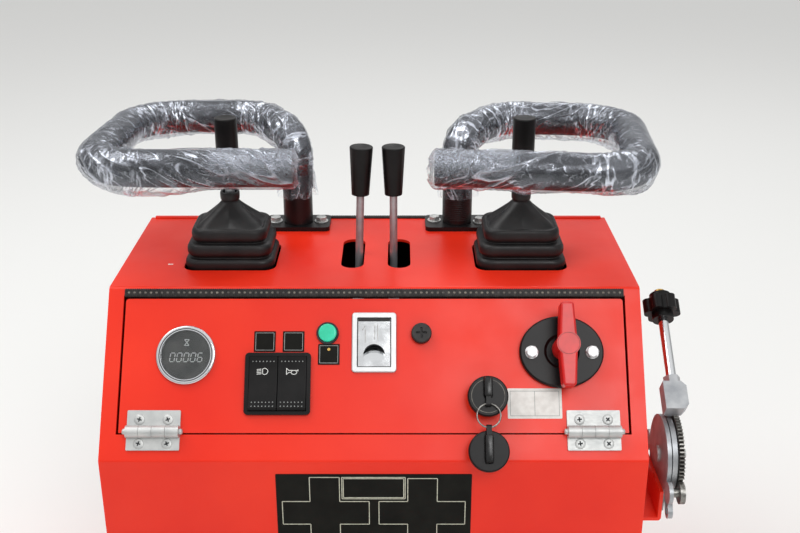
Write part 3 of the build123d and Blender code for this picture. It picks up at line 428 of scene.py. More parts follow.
@maker
def film(made):
    """Thin clear film: it shines where it is creased, crimped or seen along its face."""
    base(made, (224, 229, 240), 0.24, metallic=0.85)
    crease = stored(made, "crease").outputs["Fac"]
    gathered = stored(made, "gathered").outputs["Fac"]
    diagonal = crease_lines(made, "twisted", 0.7, 0.035, 0.9)
    short = crease_lines(made, "straight", 0.34, 0.05, 0.5)
    around = crease_lines(made, "straight", 0.7, 0.1, 0.8, (0.6, 0.6, 2.2))
    pleated = combined(made, "MULTIPLY", around, ranged(made, gathered, 0.1, 0.7, 0.0, 1.0))
    fine = crease_lines(made, "straight", 0.06, 0.16, 0.08, (1, 1, 1.6))
    creased = ranged(made, fine, 0.0, 0.6, 0.3, 1.0)
    crimped = combined(made, "MULTIPLY", creased, stored(made, "crimp").outputs["Fac"])
    cloud = noise_over(made, stored(made, "twisted").outputs["Vector"], 0.7, 3.0)
    facing = add_node(made, "ShaderNodeFresnel", {"IOR": 1.5}).outputs["Fac"]
    # Each layer's factor, two levels of it and the film's opacity at these
    layers = [
        (facing, 0.04, 0.5, 0.1, 0.6),
        (cloud, 0.42, 0.7, 0.04, 0.24),
        (gathered, 0, 1, 0, 0.2),
        (crease, 0.3, 1, 0, 0.75),
        (diagonal, 0, 1, 0, 0.8),
        (short, 0, 1, 0, 0.4),
        (pleated, 0, 1, 0, 0.95),
        (crimped, 0, 1, 0, 0.92),
    ]
    opacity = ranged(made, *layers[0])
    for layer in layers[1:]:
        opacity = combined(made, "MAXIMUM", opacity, ranged(made, *layer))
    lead(made, "Alpha", opacity)
    relief(made, 3, 3, 0.5)
    bumped(made, crimped, 1.2)


# Inks, labels, small marks and painted highlights: colour, roughness, specular level, then the size and
# detail of their tone's grain, its dark and light colour and the levels of the grain that have these
print_rows = {
    "white_print": ((226, 226, 222), 0.5, 0.5, 2, 4, (198, 198, 194), (228, 228, 224), 0.3, 0.5),
    "grey_print_and_highlight": ((150, 152, 150), 0.5, 0.5, 3, 4, (136, 138, 136), (160, 162, 160), 0.3, 0.6),
    "dark_red_line": ((140, 26, 24), 0.45, 0.5, 2, 3, (122, 20, 20), (158, 34, 30), 0.3, 0.7),
    "pale_print": ((196, 196, 176), 0.5, 0.5, 3, 4, (176, 176, 156), (206, 206, 188), 0.3, 0.6),
    "black_label": ((15, 15, 13), 0.36, 0.1, 20, 4, (14, 14, 11), (24, 24, 20), 0.3, 0.7),
    "white_label": ((226, 222, 216), 0.45, 0.5, 9, 5, (210, 205, 199), (230, 227, 222), 0.3, 0.6),
    "bare_chip": ((240, 214, 206), 0.7, 0.5, 1, 3, (228, 190, 180), (246, 226, 220), 0.3, 0.6),
}


def printed(made, colour, roughness, specular, *tone):
    """A thin even layer of ink, label or primer, with a slight change of tone."""
    base(made, colour, roughness, specular=specular)
    tint(made, *tone)


finishes = {}


def finish_of(name):
    """The material of a name, made when it is first asked for."""
    if name not in finishes:
        made = bpy.data.materials.new(name)
        made.use_nodes = True
        finishes[name] = made
        if name in print_rows:
            printed(made, *print_rows[name])
        else:
            makers[name](made)
    return finishes[name]


# Shapes: each is a pair of points and faces

def polar(reach, count=48):
    """Flat outline whose distance from its middle is reach(turn)."""
    turns = [2 * pi * step / count for step in range(count)]
    return [(reach(turn) * cos(turn), reach(turn) * sin(turn)) for turn in turns]


def circle(radius, count=48):
    """Outline of a circle."""
    return polar(lambda turn: radius, count)


def box_outline(width, length, corner, count=96):
    """Outline of a rectangle with round corners, by its turn about the middle."""
    half_width, half_length = width / 2, length / 2

    def reach(turn):
        across, along = abs(cos(turn)), abs(sin(turn))
        if along * half_width <= (half_length - corner) * across:
            return half_width / across
        if across * half_length <= (half_width - corner) * along:
            return half_length / along
        middle_x, middle_y = half_width - corner, half_length - corner
        nearest = across * middle_x + along * middle_y
        rest = nearest ** 2 - middle_x ** 2 - middle_y ** 2 + corner ** 2
        return nearest + max(rest, 0) ** 0.5

    return polar(reach, count)


def hexagon(across, limit, count=48):
    """Outline of a hexagon whose corners are cut by a circle."""
    third = pi / 3
    return polar(lambda turn: min(across / 2 / cos(turn % third - third / 2), limit), count)


def cross(arm, half_width, count=48):
    """Outline of a plus shape."""
    def reach(turn):
        across, along = max(abs(cos(turn)), 1e-6), max(abs(sin(turn)), 1e-6)
        flat = min(arm / across, half_width / along)
        upright = min(half_width / across, arm / along)
        return max(flat, upright)

    return polar(reach, count)


def corners_outline(width, length, corner, steps=5):
    """Outline of a rectangle with an arc of equal steps at each corner."""
    outline = []
    places = [(1, 1, 0), (-1, 1, 90), (-1, -1, 180), (1, -1, 270)]
    for side_x, side_y, start in places:
        for step in range(steps + 1):
            turn = radians(start + 90 * step / steps)
            x = side_x * (width / 2 - corner) + corner * cos(turn)
            y = side_y * (length / 2 - corner) + corner * sin(turn)
            outline.append((x, y))
    return outline


def at_height(outline, height):
    """The points of a flat outline at one height."""
    return [Vector((x, y, height)) for x, y in outline]


def loft(rings, cap_start=True, cap_end=True):
    """A skin over closed rings that have equal counts of points."""
    count = len(rings[0])
    points = [point for ring in rings for point in ring]
    faces = []
    for row in range(len(rings) - 1):
        for step in range(count):
            here, after = row * count + step, row * count + (step + 1) % count
            faces.append((here, after, after + count, here + count))
    if cap_start:
        faces.append(tuple(reversed(range(count))))
    if cap_end:
        last = (len(rings) - 1) * count
        faces.append(tuple(range(last, last + count)))
    return points, faces


def lathe(profile, count=48):
    """A turned solid from pairs of radius and height, with flat ends."""
    return loft([at_height(circle(radius, count), height) for radius, height in profile])


def slab(outline, low, high):
    """A flat plate between two heights."""
    return loft([at_height(outline, low), at_height(outline, high)])


def moved(shape, place):
    """A shape set at a place given by a matrix."""
    points, faces = shape
    return [place @ point for point in points], faces


def shifted(shape, x=0, y=0, z=0):
    """A shape moved along the axes."""
    return moved(shape, Matrix.Translation((x, y, z)))


def joined(shapes):
    """Several shapes as one."""
    points, faces = [], []
    for more_points, more_faces in shapes:
        start = len(points)
        points.extend(more_points)
        faces.extend(tuple(start + corner for corner in face) for face in more_faces)
    return points, faces


def hoop(rings):
    """A closed skin whose last ring joins its first one."""
    return loft(rings + rings[:1], False, False)


def border(outer, inner, low, high):
    """The flat band between two outlines."""
    places = [(outer, low), (outer, high), (inner, high), (inner, low)]
    return hoop([at_height(outline, height) for outline, height in places])


def frame_line(width, length, line, low, high):
    """The thin border of a rectangle."""
    outer = corners_outline(width, length, line)
    return border(outer, corners_outline(width - 2 * line, length - 2 * line, 0.1 * mm), low, high)


def stroke(start, end, width, low, high):
    """A straight line of ink between two flat points."""
    run = Vector(end) - Vector(start)
    middle = (Vector(end) + Vector(start)) / 2
    outline = [(-run.length / 2, -width / 2), (run.length / 2, -width / 2)]
    outline += [(-x, -y) for x, y in outline]
    turned = Matrix.Rotation(atan2(run.y, run.x), 4, "Z")
    place = Matrix.Translation((middle.x, middle.y, 0)) @ turned
    return moved(slab(outline, low, high), place)


def strokes(paths, width, low, high):
    """Straight lines of ink along paths whose points are in millimetres."""
    shapes = []
    for path in paths:
        points = [Vector(point) * mm for point in path]
        shapes.extend(stroke(*ends, width, low, high) for ends in zip(points, points[1:]))
    return joined(shapes)


def add_piece(name, shape, body, finish, place=Matrix(), sharp=30):
    """A shown piece of a shape, that rides on a body."""
    points, faces = shape
    mesh = bpy.data.meshes.new(name)
    mesh.from_pydata([place @ point for point in points], [], faces)
    mesh.materials.append(finish_of(finish))
    mesh.shade_smooth()
    mesh.set_sharp_from_angle(angle=radians(sharp))
    made = bpy.data.objects.new(name, mesh)
    bpy.context.collection.objects.link(made)
    if body:
        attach(made, body)
    return made


def on_panel(x, s, height=0.0):
    """A place on the sloping panel, from millimetres across, up the slope and above it."""
    return panel @ Matrix.Translation((x * mm, s * mm, height * mm))


# Nodes that are shown as they are

# Nodes by the rounding of their plain edges, in millimetres
edge_rounding = {
    0.4: [
        "lid_panel", "lights_rocker", "horn_rocker", "latch_frame", "brake_mount", "brake_arm",
    ],
    0.5: ["cowl_shell", "switch_frame", "isolator_base", "brake_bracket"],
    0.8: ["ignition_key", "spare_key"],
    1.2: ["isolator_key"],
}
rounding_of = {node: width * mm for width, nodes in edge_rounding.items() for node in nodes}

# Nodes whose finish differs a little from that of their slot
own_finishes = {
    "key_ring": "wire_steel",
    "brake_sector": "wire_steel",
    "fuse_holder": "edge_rubber",
    "latch_frame": "bright_steel",
    "pilot_lamp_bezel": "valve_iron",
}


def dress_nodes():
    """Give each node its finish, smooth faces and, where it has plain edges, a fine rounding."""
    for row in frame["record"]["subparts"]:
        node = frame["nodes"][row["node"]]
        node.data.materials.clear()
        node.data.materials.append(finish_of(own_finishes.get(row["node"], row["material_slot"])))
        node.data.shade_smooth()
        node.data.set_sharp_from_angle(angle=radians(32))
        if row["node"] in rounding_of:
            rounding = node.modifiers.new("rounding", "BEVEL")
            rounding.width = rounding_of[row["node"]]
            rounding.segments = 2
            rounding.limit_method = "ANGLE"
            rounding.angle_limit = radians(40)
            rounding.harden_normals = True


# Boots of the two sticks

stick_x, stick_y = 155 * mm, 32 * mm
boot_seam = 40.4

# Height above the deck, width, depth, corner radius and pinch of the faces, in millimetres
boot_lower_rows = [
    (-5.5, 88, 70, 13, 0),
    (-2.5, 91.5, 73, 14, 0),
    (0.5, 94.2, 75.4, 15, 0),
    (4, 95, 76, 15, 0),
    (7.3, 94, 75, 15, 0),
    (9.6, 90, 71.2, 14, 0),
    (10.6, 84.5, 66.2, 12, 0),
    (11.6, 83.8, 65.6, 12, 0),
    (13, 86.5, 68.2, 13, 0),
    (15.6, 89.4, 71.4, 14, 0),
    (19, 90, 72, 14.5, 0),
    (22.3, 89, 71.2, 14.5, 0),
    (25, 85, 68, 14, 0),
    (26.2, 76.5, 60, 12, 0),
    (27.2, 75.5, 59.2, 12, 0),
    (28.6, 77.5, 61.4, 13, 0),
    (31.5, 79.6, 63.6, 14, 0),
    (35.5, 80, 64, 14.5, 0),
    (38.6, 79, 63, 14.5, 0),
    (40.6, 76.4, 60.4, 14, 0),
    (41.2, 73.6, 57.8, 13, 0.2),
    (boot_seam, 70.4, 54.8, 12, 0.6),
]
boot_upper_rows = [
    (boot_seam, 70.4, 54.8, 12, 0.6),
    (41.2, 67.5, 52, 11.5, 1.6),
    (45, 60, 45.6, 10.5, 3.2),
    (50, 48.5, 37.6, 9.5, 3.4),
    (55, 37.5, 30.4, 9, 2.2),
    (59.5, 28, 24.6, 9, 1),
    (63, 21.6, 20.6, 9, 0.2),
    (65, 18.4, 18.4, 8.6, 0),
    (66, 18.4, 18.4, 8.8, 0),
    (67.2, 20, 20, 9.6, 0),
    (70.5, 20.6, 20.6, 10, 0),
    (73.6, 20.6, 20.6, 10, 0),
    (75, 19.6, 19.6, 9.6, 0),
    (75.4, 17.6, 17.6, 8.6, 0),
    (74.6, 15.6, 15.6, 7.7, 0),
    (70, 14, 14, 6.9, 0),
]


def smooth_rows(rows, steps):
    """More rows on smooth curves through the given ones."""
    made = []
    for place in range(len(rows) - 1):
        four = [rows[max(place - 1, 0)], rows[place], rows[place + 1]]
        four.append(rows[min(place + 2, len(rows) - 1)])
        for step in range(steps):
            t = step / steps
            weights = (
                (-t + 2 * t ** 2 - t ** 3) / 2,
                (2 - 5 * t ** 2 + 3 * t ** 3) / 2,
                (t + 4 * t ** 2 - 3 * t ** 3) / 2,
                (-t ** 2 + t ** 3) / 2,
            )
            made.append([sum(w * number for w, number in zip(weights, column)) for column in zip(*four)])
    made.append(list(rows[-1]))
    return made


def boot_skin(rows):
    """Rings of one stretch of a boot, their faces drawn in between the corners."""
    rings = []
    for height, width, depth, corner, pinch in smooth_rows(rows, 4):
        ring = []
        for x, y in box_outline(width * mm, depth * mm, corner * mm):
            lean = min(abs(x) / width, abs(y) / depth) / (0.5 * mm)
            share = 1 - pinch * max(1 - lean, 0) ** 2 * mm / hypot(x, y)
            ring.append(Vector((x * share, y * share, height * mm)))
        rings.append(ring)
    return loft(rings, False, False)


def make_boots():
    """Each boot in two stretches, the lower folds and the top, set round its stick on the deck."""
    for side, sign in sides:
        middle = Vector((sign * stick_x, stick_y, deck_z))
        place = Matrix.Translation(middle)
        folds, top = boot_skin(boot_lower_rows), boot_skin(boot_upper_rows)
        lower = add_piece(side + "_boot_folds", folds, None, "boot_rubber", place, 60)
        upper = add_piece(side + "_boot_top", top, None, "boot_rubber", place, 60)
        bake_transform(lower)
        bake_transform(upper)
        for made in (lower, upper):
            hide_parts(side + "_boot")


# Grab loops: foam and the film that wraps it

post_x, post_y = 92.5 * mm, 130 * mm
foam_radius = 18.5 * mm
foam_count = 40
# Corners of the left loop: place across, place back and height above the deck, and the bend's radius
loop_corners = [
    (-92.5, 130, 44, 0),
    (-92.5, 130, 108, 30),
    (-138, 192, 114, 44),
    (-283, 192, 114, 62),
    (-283, -44, 123.5, 52),
    (-79, -44, 123.5, 0),
]
right_loop_turn = -6
film_step = 1.5 * mm
film_count = 96
# How far the film runs below the foam's foot and past its free end, in millimetres
film_below_foam = 2
film_past_end = {"left": 5, "right": 7}
# Its flared foot, its crimped stretch before the free end and the stretch where the crimps set in
flare_run = 24 * mm
crimp_run = 98 * mm
crimp_fade = 16 * mm
# How far its long creases wind round the foam, in radians per metre
crease_twist = 26


def rounded_path(corners, step):
    """Points along straight runs joined by arcs, about one step apart."""
    places = [Vector(corner[:3]) * mm for corner in corners]
    marks = [places[0]]
    for before, here, after, corner in zip(places, places[1:], places[2:], corners[1:]):
        back, on = (before - here).normalized(), (after - here).normalized()
        half = back.angle(on) / 2
        middle = here + (back + on).normalized() * (corner[3] * mm / sin(half))
        start = here + back * (corner[3] * mm / tan(half))
        swing = pi - 2 * half
        axis = back.cross(on)
        count = max(int(swing * corner[3] * mm / step), 4)
        for k in range(count + 1):
            turn = Matrix.Rotation(-swing * k / count, 3, axis)
            marks.append(middle + turn @ (start - middle))
    marks.append(places[-1])
    points = [marks[0]]
    for before, here in zip(marks, marks[1:]):
        pieces = max(round((here - before).length / step), 1)
        points.extend(before.lerp(here, k / pieces) for k in range(1, pieces + 1))
    return points


def carried_frames(points):
    """A tangent and two cross directions at each point, carried along without twist."""
    frames = []
    side = Vector((1, 0, 0))
    for place, point in enumerate(points):
        ahead = points[min(place + 1, len(points) - 1)] - points[max(place - 1, 0)]
        tangent = ahead.normalized()
        side = (side - tangent * side.dot(tangent)).normalized()
        frames.append((point, tangent, side, tangent.cross(side)))
    return frames


def loop_place(sign):
    """The matrix that takes the left loop's path to a side."""
    place = Matrix.Translation((0, 0, deck_z))
    if sign > 0:
        post = Matrix.Translation((post_x, post_y, 0))
        turned = Matrix.Rotation(radians(right_loop_turn), 4, "Z")
        place = place @ post @ turned @ post.inverted() @ Matrix.Scale(-1, 4, (1, 0, 0))
    return place


def make_foam(side, sign):
    """The foam sleeve, softly uneven, with round ends."""
    frames = carried_frames(rounded_path(loop_corners, 5 * mm))
    end_round = 3 * mm
    rings = []
    run = 0.0
    total = sum((b[0] - a[0]).length for a, b in zip(frames, frames[1:]))
    for place, (point, _, across, upward) in enumerate(frames):
        if place:
            run += (point - frames[place - 1][0]).length
        inset = max(end_round - min(run, total - run), 0)
        ring = []
        for step in range(foam_count):
            turn = 2 * pi * step / foam_count
            away = across * cos(turn) + upward * sin(turn)
            uneven = noise.noise((point + away * foam_radius) * 26) * 0.5 * mm
            ring.append(point + away * (foam_radius - inset * 0.5 + uneven))
        rings.append(ring)
    made = add_piece(side + "_grip_foam", loft(rings), "cowl", "grip_foam", loop_place(sign), 60)
    if sign > 0:
        made.data.flip_normals()
    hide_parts(side + "_loop_foam")
    return made


def ridged(value, sharpness):
    """One along the zero lines of a noise and falling off to both sides."""
    return max(1 - abs(value) * sharpness, 0) ** 2


def clamp(value):
    """A value kept between zero and one."""
    return min(max(value, 0), 1)


def bend_of(frames, place, reach):
    """How sharply the path bends near a place, and the direction to the inside of the bend."""
    before = frames[max(place - reach, 0)]
    after = frames[min(place + reach, len(frames) - 1)]
    inward = after[1] - before[1]
    length = (after[0] - before[0]).length
    sharpness = clamp(inward.length / length * foam_radius / 0.33)
    return sharpness, inward.normalized() if inward.length > 1e-6 else Vector((0, 0, 0))


def film_ring(frame_here, run, total, bend, seed, closing):
    """Points of one ring of film, each with its creasing, crimp, gathering and crease spaces."""
    point, tangent, across, upward = frame_here
    sharpness, inward = bend
    shift = Vector((seed, seed * 0.7, 0))
    near_start = clamp(1 - run / flare_run)
    near_end = clamp(1 - (total - run) / closing)
    crimped = clamp((run - total + crimp_run) / crimp_fade)
    slack = clamp(1.6 * noise.noise(Vector((run * 9, seed, 0))) + 0.35)
    gathered = max(sharpness, 0.9 * abs(tangent.y))
    rows = []
    for k in range(film_count):
        turn = 2 * pi * k / film_count
        away = across * cos(turn) + upward * sin(turn)
        below, inner = max(-away.z, 0), max(away.dot(inward), 0)
        straight = Vector((cos(turn), sin(turn), run / foam_radius)) + shift
        twist = turn - run * crease_twist
        twisted = Vector((cos(twist), sin(twist), run / foam_radius * 0.3)) + shift
        along = ridged(noise.noise(twisted * 1.5), 5) * clamp(0.6 + noise.noise(straight * 0.35) * 2)
        squeezed = Vector((straight.x, straight.y, straight.z * 2.2))
        pleats = ridged(noise.noise(squeezed * 1.4), 3.5) * sharpness * (0.45 + 0.55 * inner)
        crinkle = noise.noise(straight * 7)
        loose = max(noise.noise(twisted * 0.8), 0)
        lift = 0.6 + 1.9 * along + 1.8 * pleats + 1.6 * loose + 0.35 * crimped * crinkle
        ragged = 0.5 + 0.5 * noise.noise(Vector((cos(turn), sin(turn), 3.0)) * 2.2 + shift)
        lift += near_start * (1.5 + 5 * ragged)
        pleat = 0.5 + 0.5 * noise.noise(Vector((cos(turn), sin(turn), seed)) * 4.6)
        radius = (foam_radius + lift * mm) * (1 - near_end ** 1.6 * (0.3 + 0.5 * pleat))
        hang = below ** 2 * (1 + 8 * slack * (1 - crimped)) + near_start ** 2 * ragged * 5
        spot = point + away * radius - Vector((0, 0, (hang + near_end * 4 * pleat) * mm))
        spot += tangent * near_end ** 2 * (pleat - 0.5) * 7 * mm
        crease = clamp(max(along, 0.9 * pleats, 0.9 * near_end, 0.4 * near_start))
        crimp = crimped * clamp(0.35 + 1.1 * away.z)
        rows.append((spot, crease, crimp, gathered, straight, twisted))
    return rows


def make_film(side, sign, seed):
    """The clear film around a loop: tight on top, slack below, crimped at its free end."""
    first, *bends, last = [Vector(corner) for corner in loop_corners]
    first.z -= film_below_foam
    last.x += film_past_end[side]
    corners = [first, *bends, last]
    frames = carried_frames(rounded_path(corners, film_step))
    total = film_step * len(frames)
    closing = (film_past_end[side] + 2) * mm
    rings, rows = [], []
    for place, frame_here in enumerate(frames):
        bend = bend_of(frames, place, 12)
        ring = film_ring(frame_here, film_step * place, total, bend, seed, closing)
        rings.append([row[0] for row in ring])
        rows.extend(ring)
    skin = loft(rings, False, False)
    made = add_piece(side + "_grip_film", skin, "cowl", "film", loop_place(sign), 180)
    if sign > 0:
        made.data.flip_normals()
    for name, column in (("crease", 1), ("crimp", 2), ("gathered", 3)):
        values = made.data.attributes.new(name, "FLOAT", "POINT")
        values.data.foreach_set("value", [row[column] for row in rows])
    for name, column in (("straight", 4), ("twisted", 5)):
        values = made.data.attributes.new(name, "FLOAT_VECTOR", "POINT")
        values.data.foreach_set("vector", [number for row in rows for number in row[column]])


def make_loops():
    """Foam and film of both loops."""
    for seed, (side, sign) in enumerate(sides):
        make_foam(side, sign)
        make_film(side, sign, 3.1 + 5.7 * seed)


# Ribbed edging

trim_split = 129 * mm
rib_pitch = 2.2 * mm
rib_height = 0.4 * mm


def ribbed_strip(profile, half_length, ribbed_from, ribbed_to):
    """An edging along X whose chosen profile points stand out at every rib."""
    pitches = round(2 * half_length / rib_pitch)
    rings = []
    middle = Vector(map(sum, zip(*profile))) / len(profile)
    for place in range(pitches):
        for share, raised in ((0.0, 0), (0.3, 0), (0.45, 1), (0.85, 1)):
            x = -half_length + (place + share) * 2 * half_length / pitches
            ring = []
            for k, (y, z) in enumerate(profile):
                out = Vector((y, z)) - middle
                grow = raised and ribbed_from <= k <= ribbed_to
                spot = Vector((y, z)) + (out.normalized() * rib_height if grow else Vector((0, 0)))
                ring.append(Vector((x, spot.x, spot.y)))
            rings.append(ring)
    return loft(rings)


def bead_row(length, pitch, bead_length, bead_width):
    """Low beads in a row along X."""
    outline = box_outline(bead_length, bead_width, bead_width * 0.4, 16)
    top = [(x * 0.55, y * 0.55) for x, y in outline]
    count = int(length / pitch)
    bead = loft([at_height(outline, 0), at_height(top, 0.35 * mm)])
    return joined([shifted(bead, x=(k + 0.5 - count / 2) * pitch) for k in range(count)])


def make_edging():
    """The ribbed trims of the lid opening and of the deck's back edge."""
    upper_edge = 166.5
    profile = [
        (6.5, 0), (6.5, 1.2), (5.6, 1.7), (-0.4, 1.7), (-1.4, 1.2), (-1.7, 0.4), (-1.7, -4),
        (-1.4, -4.8), (3.8, -5), (4, -4.6), (4, -3), (0, -3), (0, 0),
    ]
    profile = [((upper_edge + s) * mm, height * mm) for s, height in profile]
    strip = ribbed_strip(profile, 253.5 * mm, 1, 6)
    made = add_piece("lid_opening_ribbed_trim", strip, "cowl", "edge_rubber", panel, 20)
    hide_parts("lid_opening_trim")

    # The beads' pale grey is a painted highlight along the middle of the trim's ribs
    row = bead_row(2 * 252 * mm, 5.6 * mm, 2.6 * mm, 2.2 * mm)
    place = on_panel(0, upper_edge + 2.6, 1.9)
    add_piece("lid_opening_trim_beads", row, "cowl", "highlight_rubber", place, 40)

    low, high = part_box("deck_edge_trim")
    wall = 2 * mm
    profile = [
        (low.y, low.z), (low.y, high.z - wall / 2), (low.y + wall / 2, high.z),
        (high.y - wall / 2, high.z), (high.y, high.z - wall / 2), (high.y, low.z),
        (high.y - wall, low.z), (high.y - wall, deck_z), (low.y + wall, deck_z),
        (low.y + wall, low.z),
    ]
    profile = [(y, z) for y, z in reversed(profile)]
    strip = ribbed_strip(profile, trim_split, 4, 9)
    made = add_piece("deck_edge_ribbed_trim", strip, "cowl", "edge_rubber", sharp=20)
    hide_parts("deck_edge_trim")
    for side, sign in sides:
        rings = [[Vector((x, y, z)) for y, z in profile] for x in (trim_split, high.x)]
        hem = shifted(loft(rings), x=(sign - 1) / 2 * (trim_split + high.x))
        made = add_piece(side + "_deck_hem", hem, "cowl", "cowl_paint", sharp=20)
        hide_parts("deck_edge_trim")


# Bolts and screws

def hex_bolt(across, head, washer_radius, washer):
    """A hexagon head with a chamfered top on a washer."""
    ring = [(washer_radius, 0), (washer_radius, washer * 0.8), (washer_radius * 0.96, washer)]
    # The circle that cuts the hexagon, as a share of its width, and the share of the head's height
    rows = [(0.58, 0), (0.58, 0.78), (0.53, 0.93), (0.46, 1)]
    rings = [
        at_height(hexagon(across, across * limit), washer + head * level) for limit, level in rows
    ]
    rings.append(at_height(circle(across * 0.3), washer + head))
    rings.append(at_height(circle(across * 0.27), washer + head * 0.93))
    return joined([lathe(ring), loft(rings)])


def cross_screw(radius, height, arm):
    """A low domed screw head with a cross recess."""
    dome = [(1, 0), (1, 0.35), (0.93, 0.72), (0.76, 0.94), (0.55, 1)]
    rings = [at_height(circle(radius * share), height * level) for share, level in dome]
    rings.append(at_height(cross(arm, arm * 0.3), height))
    rings.append(at_height(cross(arm * 0.8, arm * 0.22), height * 0.3))
    return loft(rings)


def make_fasteners():
    """Bolts of the posts and of the isolator, and the screws of the hinges, each screw with painted
    shade in its cross recess and round the foot of its head.
    """
    spread = 26.5 * mm
    for side, sign in sides:
        post = Matrix.Translation((sign * post_x, post_y, deck_z + 5 * mm))
        if sign > 0:
            post = post @ Matrix.Rotation(radians(right_loop_turn), 4, "Z")
        for end in (-1, 1):
            place = post @ Matrix.Translation((end * spread, 0, 0)) @ Matrix.Rotation(0.4 * end, 4, "Z")
            name = side + "_post_bolt_" + ("inner" if end * sign < 0 else "outer")
            shape = hex_bolt(11 * mm, 4.6 * mm, 8 * mm, 1.2 * mm)
            add_piece(name, shape, "cowl", "zinc", place)
    for name, x in (("isolator_bolt_left", 157.3), ("isolator_bolt_right", 217.7)):
        shape = hex_bolt(11 * mm, 5 * mm, 6.6 * mm, 1 * mm)
        add_piece(name, shape, "lid", "bright_steel", on_panel(x, 107, 7))
    arm, recess = 2.5 * mm, 0.5 * mm
    screw = cross_screw(5.2 * mm, 1.5 * mm, arm)
    # Painted shade: a dark cross in each screw's recess and a dark ring round the foot of its head
    recess_shade = slab(cross(arm * 0.86, arm * 0.25), recess / 2, recess * 1.3)
    seat_shade = joined([lathe([(5.7 * mm, 0), (5.7 * mm, 0.12 * mm)], 32), recess_shade])
    for side, sign in sides:
        for body, s, leaf in (("lid", 40.6, "lid"), ("cowl", 17.0, "fixed")):
            for number, offset in enumerate((-14, 14), 1):
                x = sign * 217 + offset
                name = f"{side}_hinge_{leaf}_screw_{number}"
                place = on_panel(x, s, 2) @ Matrix.Rotation(0.7 * number + sign, 4, "Z")
                add_piece(name, screw, body, "zinc", place)
                add_piece(name + "_seat", seat_shade, body, "valve_iron", place)


def make_rear_screws():
    """Screws round the rear cover, the outer ones through the cowl's flanges."""
    low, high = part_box("rear_cover")
    inset = 9 * mm
    screw = cross_screw(4.6 * mm, 1.8 * mm, 2.1 * mm)
    facing_back = Matrix.Rotation(-pi / 2, 4, "X")
    columns = (low.x + inset, (low.x + high.x) / 2, high.x - inset)
    rows = (low.z + inset, (low.z + high.z) / 2, high.z - inset)
    places = [(x, z) for x in columns for z in rows if (x, z) != (columns[1], rows[1])]
    for number, (x, z) in enumerate(places, 1):
        turned = facing_back @ Matrix.Rotation(0.9 * number, 4, "Z")
        y = high.y if x == columns[1] else back_y
        place = Matrix.Translation((x, y, z)) @ turned
        add_piece(f"rear_cover_screw_{number}", screw, "cowl", "zinc", place)


# Marks and labels of the instrument panel

ink = 0.12 * mm

# Segments of a counter's digit: the start and end of each, from the digit's middle
digit_segments = {
    "top": ((-0.5, 1), (0.5, 1)),
    "upper_left": ((-0.5, 1), (-0.5, 0)),
    "upper_right": ((0.5, 1), (0.5, 0)),
    "middle": ((-0.5, 0), (0.5, 0)),
    "lower_left": ((-0.5, 0), (-0.5, -1)),
    "lower_right": ((0.5, 0), (0.5, -1)),
    "bottom": ((-0.5, -1), (0.5, -1)),
}
digit_parts = {
    "0": ["top", "upper_left", "upper_right", "lower_left", "lower_right", "bottom"],
    "6": ["top", "upper_left", "middle", "lower_left", "lower_right", "bottom"],
}


def laid_on(node_name, shape, place, sink=0.15 * mm):
    """A thin shape whose points are dropped along a place's own Z axis onto a node."""
    data = frame["nodes"][node_name].data
    corners = [vertex.co for vertex in data.vertices]
    tree = BVHTree.FromPolygons(corners, [tuple(face.vertices) for face in data.polygons])
    inward = -(place.to_3x3() @ Vector((0, 0, 1)))
    points, faces = shape
    dropped = []
    for point in points:
        start = place @ Vector((point.x, point.y, 0.06))
        hit = tree.ray_cast(start, inward)[0]
        dropped.append(hit - inward * (point.z - sink))
    return dropped, faces


def counter_digits(text, width, height, pitch, line, low, high):
    """Slanted digits made of short strokes, in a row about the middle."""
    shapes = []
    slant = 0.14
    for place, digit in enumerate(text):
        middle = (place - (len(text) - 1) / 2) * pitch
        for part in digit_parts[digit]:
            ends = []
            for x, y in digit_segments[part]:
                along = y * height / 2
                ends.append((middle + x * width + slant * along, along))
            start, end = Vector(ends[0]), Vector(ends[1])
            gap = (end - start).normalized() * line * 0.6
            shapes.append(stroke(start + gap, end - gap, line, low, high))
    return joined(shapes)


def make_meter_marks():
    """The counter's digits and a sand glass above them."""
    high = 0.1 * mm
    place = on_panel(*meter_spot, -0.5)
    digits = counter_digits("00006", 4.6 * mm, 8.8 * mm, 6.9 * mm, 0.95 * mm, 0, high)
    glass = [(-2.4, 3), (2.4, 3), (-2.4, -3), (2.4, -3), (-2.4, 3)]
    symbol = shifted(strokes([glass], 0.8 * mm, 0, high), y=13 * mm)
    marks = joined([shifted(digits, y=-2 * mm), symbol])
    add_piece("meter_marks", marks, "lid", "white_print", place)


def lamp_symbol():
    """A head lamp: a round half, a flat half and rays."""
    count = 20
    bowl = [(1.2 + 3.4 * cos(turn), 3.1 * sin(turn)) for turn in
            (-pi / 2 + pi * k / count for k in range(count + 1))]
    back = [(-0.6, 2.4), (-0.6, -2.4)]
    rays = [[(-6.4, y - 0.5), (-1.8, y)] for y in (2.3, 0.8, -0.8, -2.3)]
    return [bowl + back + bowl[:1], *rays]


def horn_symbol():
    """A trumpet with a bell at its left and one loop of tube."""
    flare = [(-5.6, 3.2), (-3.4, 1), (5.6, 1)]
    under = [(-5.6, -3.2), (-3.4, -1), (-1, -1)]
    turns = [2 * pi * k / 16 for k in range(17)]
    loop = [(1.8 + 2.8 * cos(turn), -1 + 2 * sin(turn)) for turn in turns]
    return [flare, under, loop, [flare[0], under[0]], [(5.8, 2), (5.8, 0)]]


